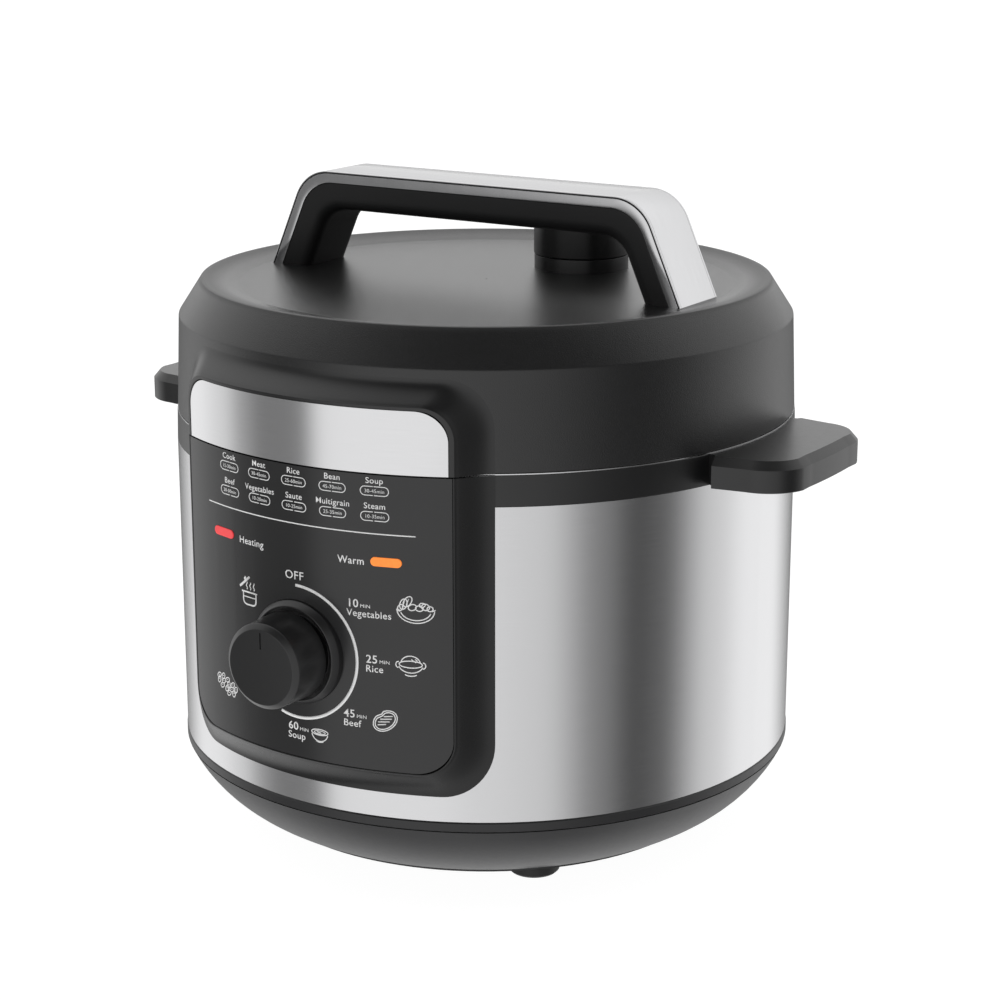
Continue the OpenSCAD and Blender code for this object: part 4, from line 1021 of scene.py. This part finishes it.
def steaming_pot(ink, u, z):
    ink.line(rounded([(u - 4.0, z - 0.4), (u - 4.0, z - 6.0), (u + 4.0, z - 6.0), (u + 4.0, z - 0.4)],
        [0, 2.4, 2.4, 0], 6, closed=False), FINE * 1.5)
    ink.line([(u - 4.9, z - 0.4), (u + 4.9, z - 0.4)], FINE * 1.5)
    ink.line([(u - 3.9, z - 2.6), (u + 3.9, z - 2.6)], FINE)
    ink.line([(u - 6.2, z + 1.4), (u + 0.2, z + 6.6)], FINE * 2.2)
    ink.line([(u - 3.2, z + 5.0), (u - 2.2, z + 6.2)], FINE * 2.2)
    for x in (-1.6, 0.6, 2.8):
        ink.line([(u + x + 0.35 * math.sin(i * 1.1), z + 0.8 + i * 0.42) for i in range(9)], FINE)


def bean_heap(ink, u, z):
    beans = ((-4.6, 3.4, 60), (-2.2, 3.8, 100), (0.2, 2.6, 40), (-4.6, 0.8, 110), (-2.0, 1.0, 60),
        (0.8, -0.2, 120), (3.0, 0.6, 70), (-2.8, -1.8, 50), (-0.2, -2.6, 90), (2.4, -2.2, 40),
        (4.6, -1.6, 100), (1.0, -4.8, 70), (3.6, -4.2, 120))
    for x, y, tilt in beans:
        bean_u, bean_z = u + x * 1.35, z + y * 0.78
        ink.line(ring_points(bean_u, bean_z, 1.6, 1.0, tilt=tilt * 0.6, steps=14), FINE, closed=True)
        ink.line([(bean_u - 0.4, bean_z), (bean_u + 0.4, bean_z + 0.2)], FINE * 0.7)


# the dial, in millimetres: radius and width of its arc, and how far round it goes
DIAL_R = 29.5
DIAL_W = 1.3
DIAL_END = math.radians(198)
# minutes, dish, angle and height of the words, icon with its angle and height
DIAL_MARKS = (
    ("10", "Vegetables", 9.7, 138.1, salad_bowl, 21.4, 137.2),
    ("25", "Rice", 12.9, 114.3, rice_bowl, 20.5, 113.4),
    ("45", "Beef", 8.8, 89.0, steak, 16.1, 87.4),
    ("60", "Soup", -2.1, 78.6, soup_bowl, 4.2, 76.6))
# the programme table: height, dishes and times of each row, then the columns' angles
PROGRAMMES = (
    (191.6, ("Cook", "Meat", "Rice", "Bean", "Soup"), ("15-30", "30-45", "25-60", "45-70", "30-45")),
    (180.8, ("Beef", "Vegetables", "Saute", "Multigrain", "Steam"),
        ("30-50", "10-20", "10-25", "25-35", "10-35")))
FIRST_COLUMN = -14.7
COLUMN_STEP = 7.37
CAPSULE_DROP = 4.5
CAPSULE_HALF = 4.3
CAPSULE_R = 1.9


def dial(ink):
    """A thin arc clockwise from OFF, then numbers with their unit, a dish and its icon."""
    dial_z = TIMER_Z / MM
    turns = [DIAL_END * i / 90 for i in range(91)]
    ink.line([(DIAL_R * math.sin(a), dial_z + DIAL_R * math.cos(a)) for a in turns], DIAL_W)
    ink.text("OFF", at(-0.2), 146.2, 5.2)
    for minutes, word, angle, z, icon, icon_angle, icon_z in DIAL_MARKS:
        start = at(angle)
        ink.text(minutes, start, z, 5.0, "LEFT", 0.011)
        ink.text("MIN", start + 6.0, z - 0.9, 2.2, "LEFT", 0.0, 1.15)
        ink.text(word, start - 0.2, z - 4.2, 4.3, "LEFT", 0.008, 1.02)
        icon(ink, at(icon_angle), icon_z)
    steaming_pot(ink, at(-10.3), 133.8)
    bean_heap(ink, at(-17.1), 87.4)


def programme_table(ink):
    """Two rows of words, each over a capsule with its minutes, and a line below."""
    for z, words, times in PROGRAMMES:
        low = z - CAPSULE_DROP
        for column, (word, time) in enumerate(zip(words, times)):
            u = at(FIRST_COLUMN + COLUMN_STEP * column)
            ink.text(word, u, z, 3.6)
            capsule = ellipse(u + CAPSULE_HALF, low, CAPSULE_R, CAPSULE_R, -90, 90, steps=10)
            capsule += ellipse(u - CAPSULE_HALF, low, CAPSULE_R, CAPSULE_R, 90, 270, steps=10)
            ink.line(capsule, 0.35, closed=True)
            ink.text(time + "min", u, low, 2.2, bold=0.0, wide=1.0)
    ink.line([(at(-21 + 42.5 * i / 60), 168.9) for i in range(61)], 0.5)


def printed_face():
    ink = Ink()
    dial(ink)
    programme_table(ink)
    lamp_z = (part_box("heating_lens")[0][2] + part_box("heating_lens")[1][2]) / 2 / MM
    ink.text("Heating", at(-12.5), lamp_z - 0.6, 4.4, "LEFT", 0.006)
    ink.text("Warm", at(12.9), lamp_z - 0.3, 4.6, "RIGHT", 0.009, 0.98)
    return ink.build("printed_marks")


place(printed_face(), BODY, PRINT, "panel_face")

# ---------- the sensor's spring ----------

SPRING_LO, SPRING_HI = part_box("sensor_spring")
SPRING_WIRE = 0.55 * MM
SPRING_TURNS = 4
TURN_STEPS = 36
WIRE_SIDES = 12


def sensor_coil():
    """An open coil between the sensor's cup and its well."""
    coil_r = half_width("sensor_spring") - SPRING_WIRE
    middle = [(SPRING_LO[i] + SPRING_HI[i]) / 2 for i in range(2)]
    rise = SPRING_HI[2] - SPRING_LO[2] - 2 * SPRING_WIRE
    rings = []
    steps = TURN_STEPS * SPRING_TURNS
    for i in range(steps + 1):
        turn = 2 * math.pi * SPRING_TURNS * i / steps
        ring = []
        for j in range(WIRE_SIDES):
            around = 2 * math.pi * j / WIRE_SIDES
            out = coil_r + SPRING_WIRE * math.cos(around)
            x, y = middle[0] + out * math.cos(turn), middle[1] + out * math.sin(turn)
            z = SPRING_LO[2] + SPRING_WIRE * (1 + math.sin(around)) + rise * i / steps
            ring.append((x, y, z))
        rings.append(ring)
    return mesh_object("sensor_coil", *loft(rings), sharp=50)


coil = place(sensor_coil(), BODY, FINISH["spring_steel"], "spring_steel", "sensor_spring")
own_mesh(coil)
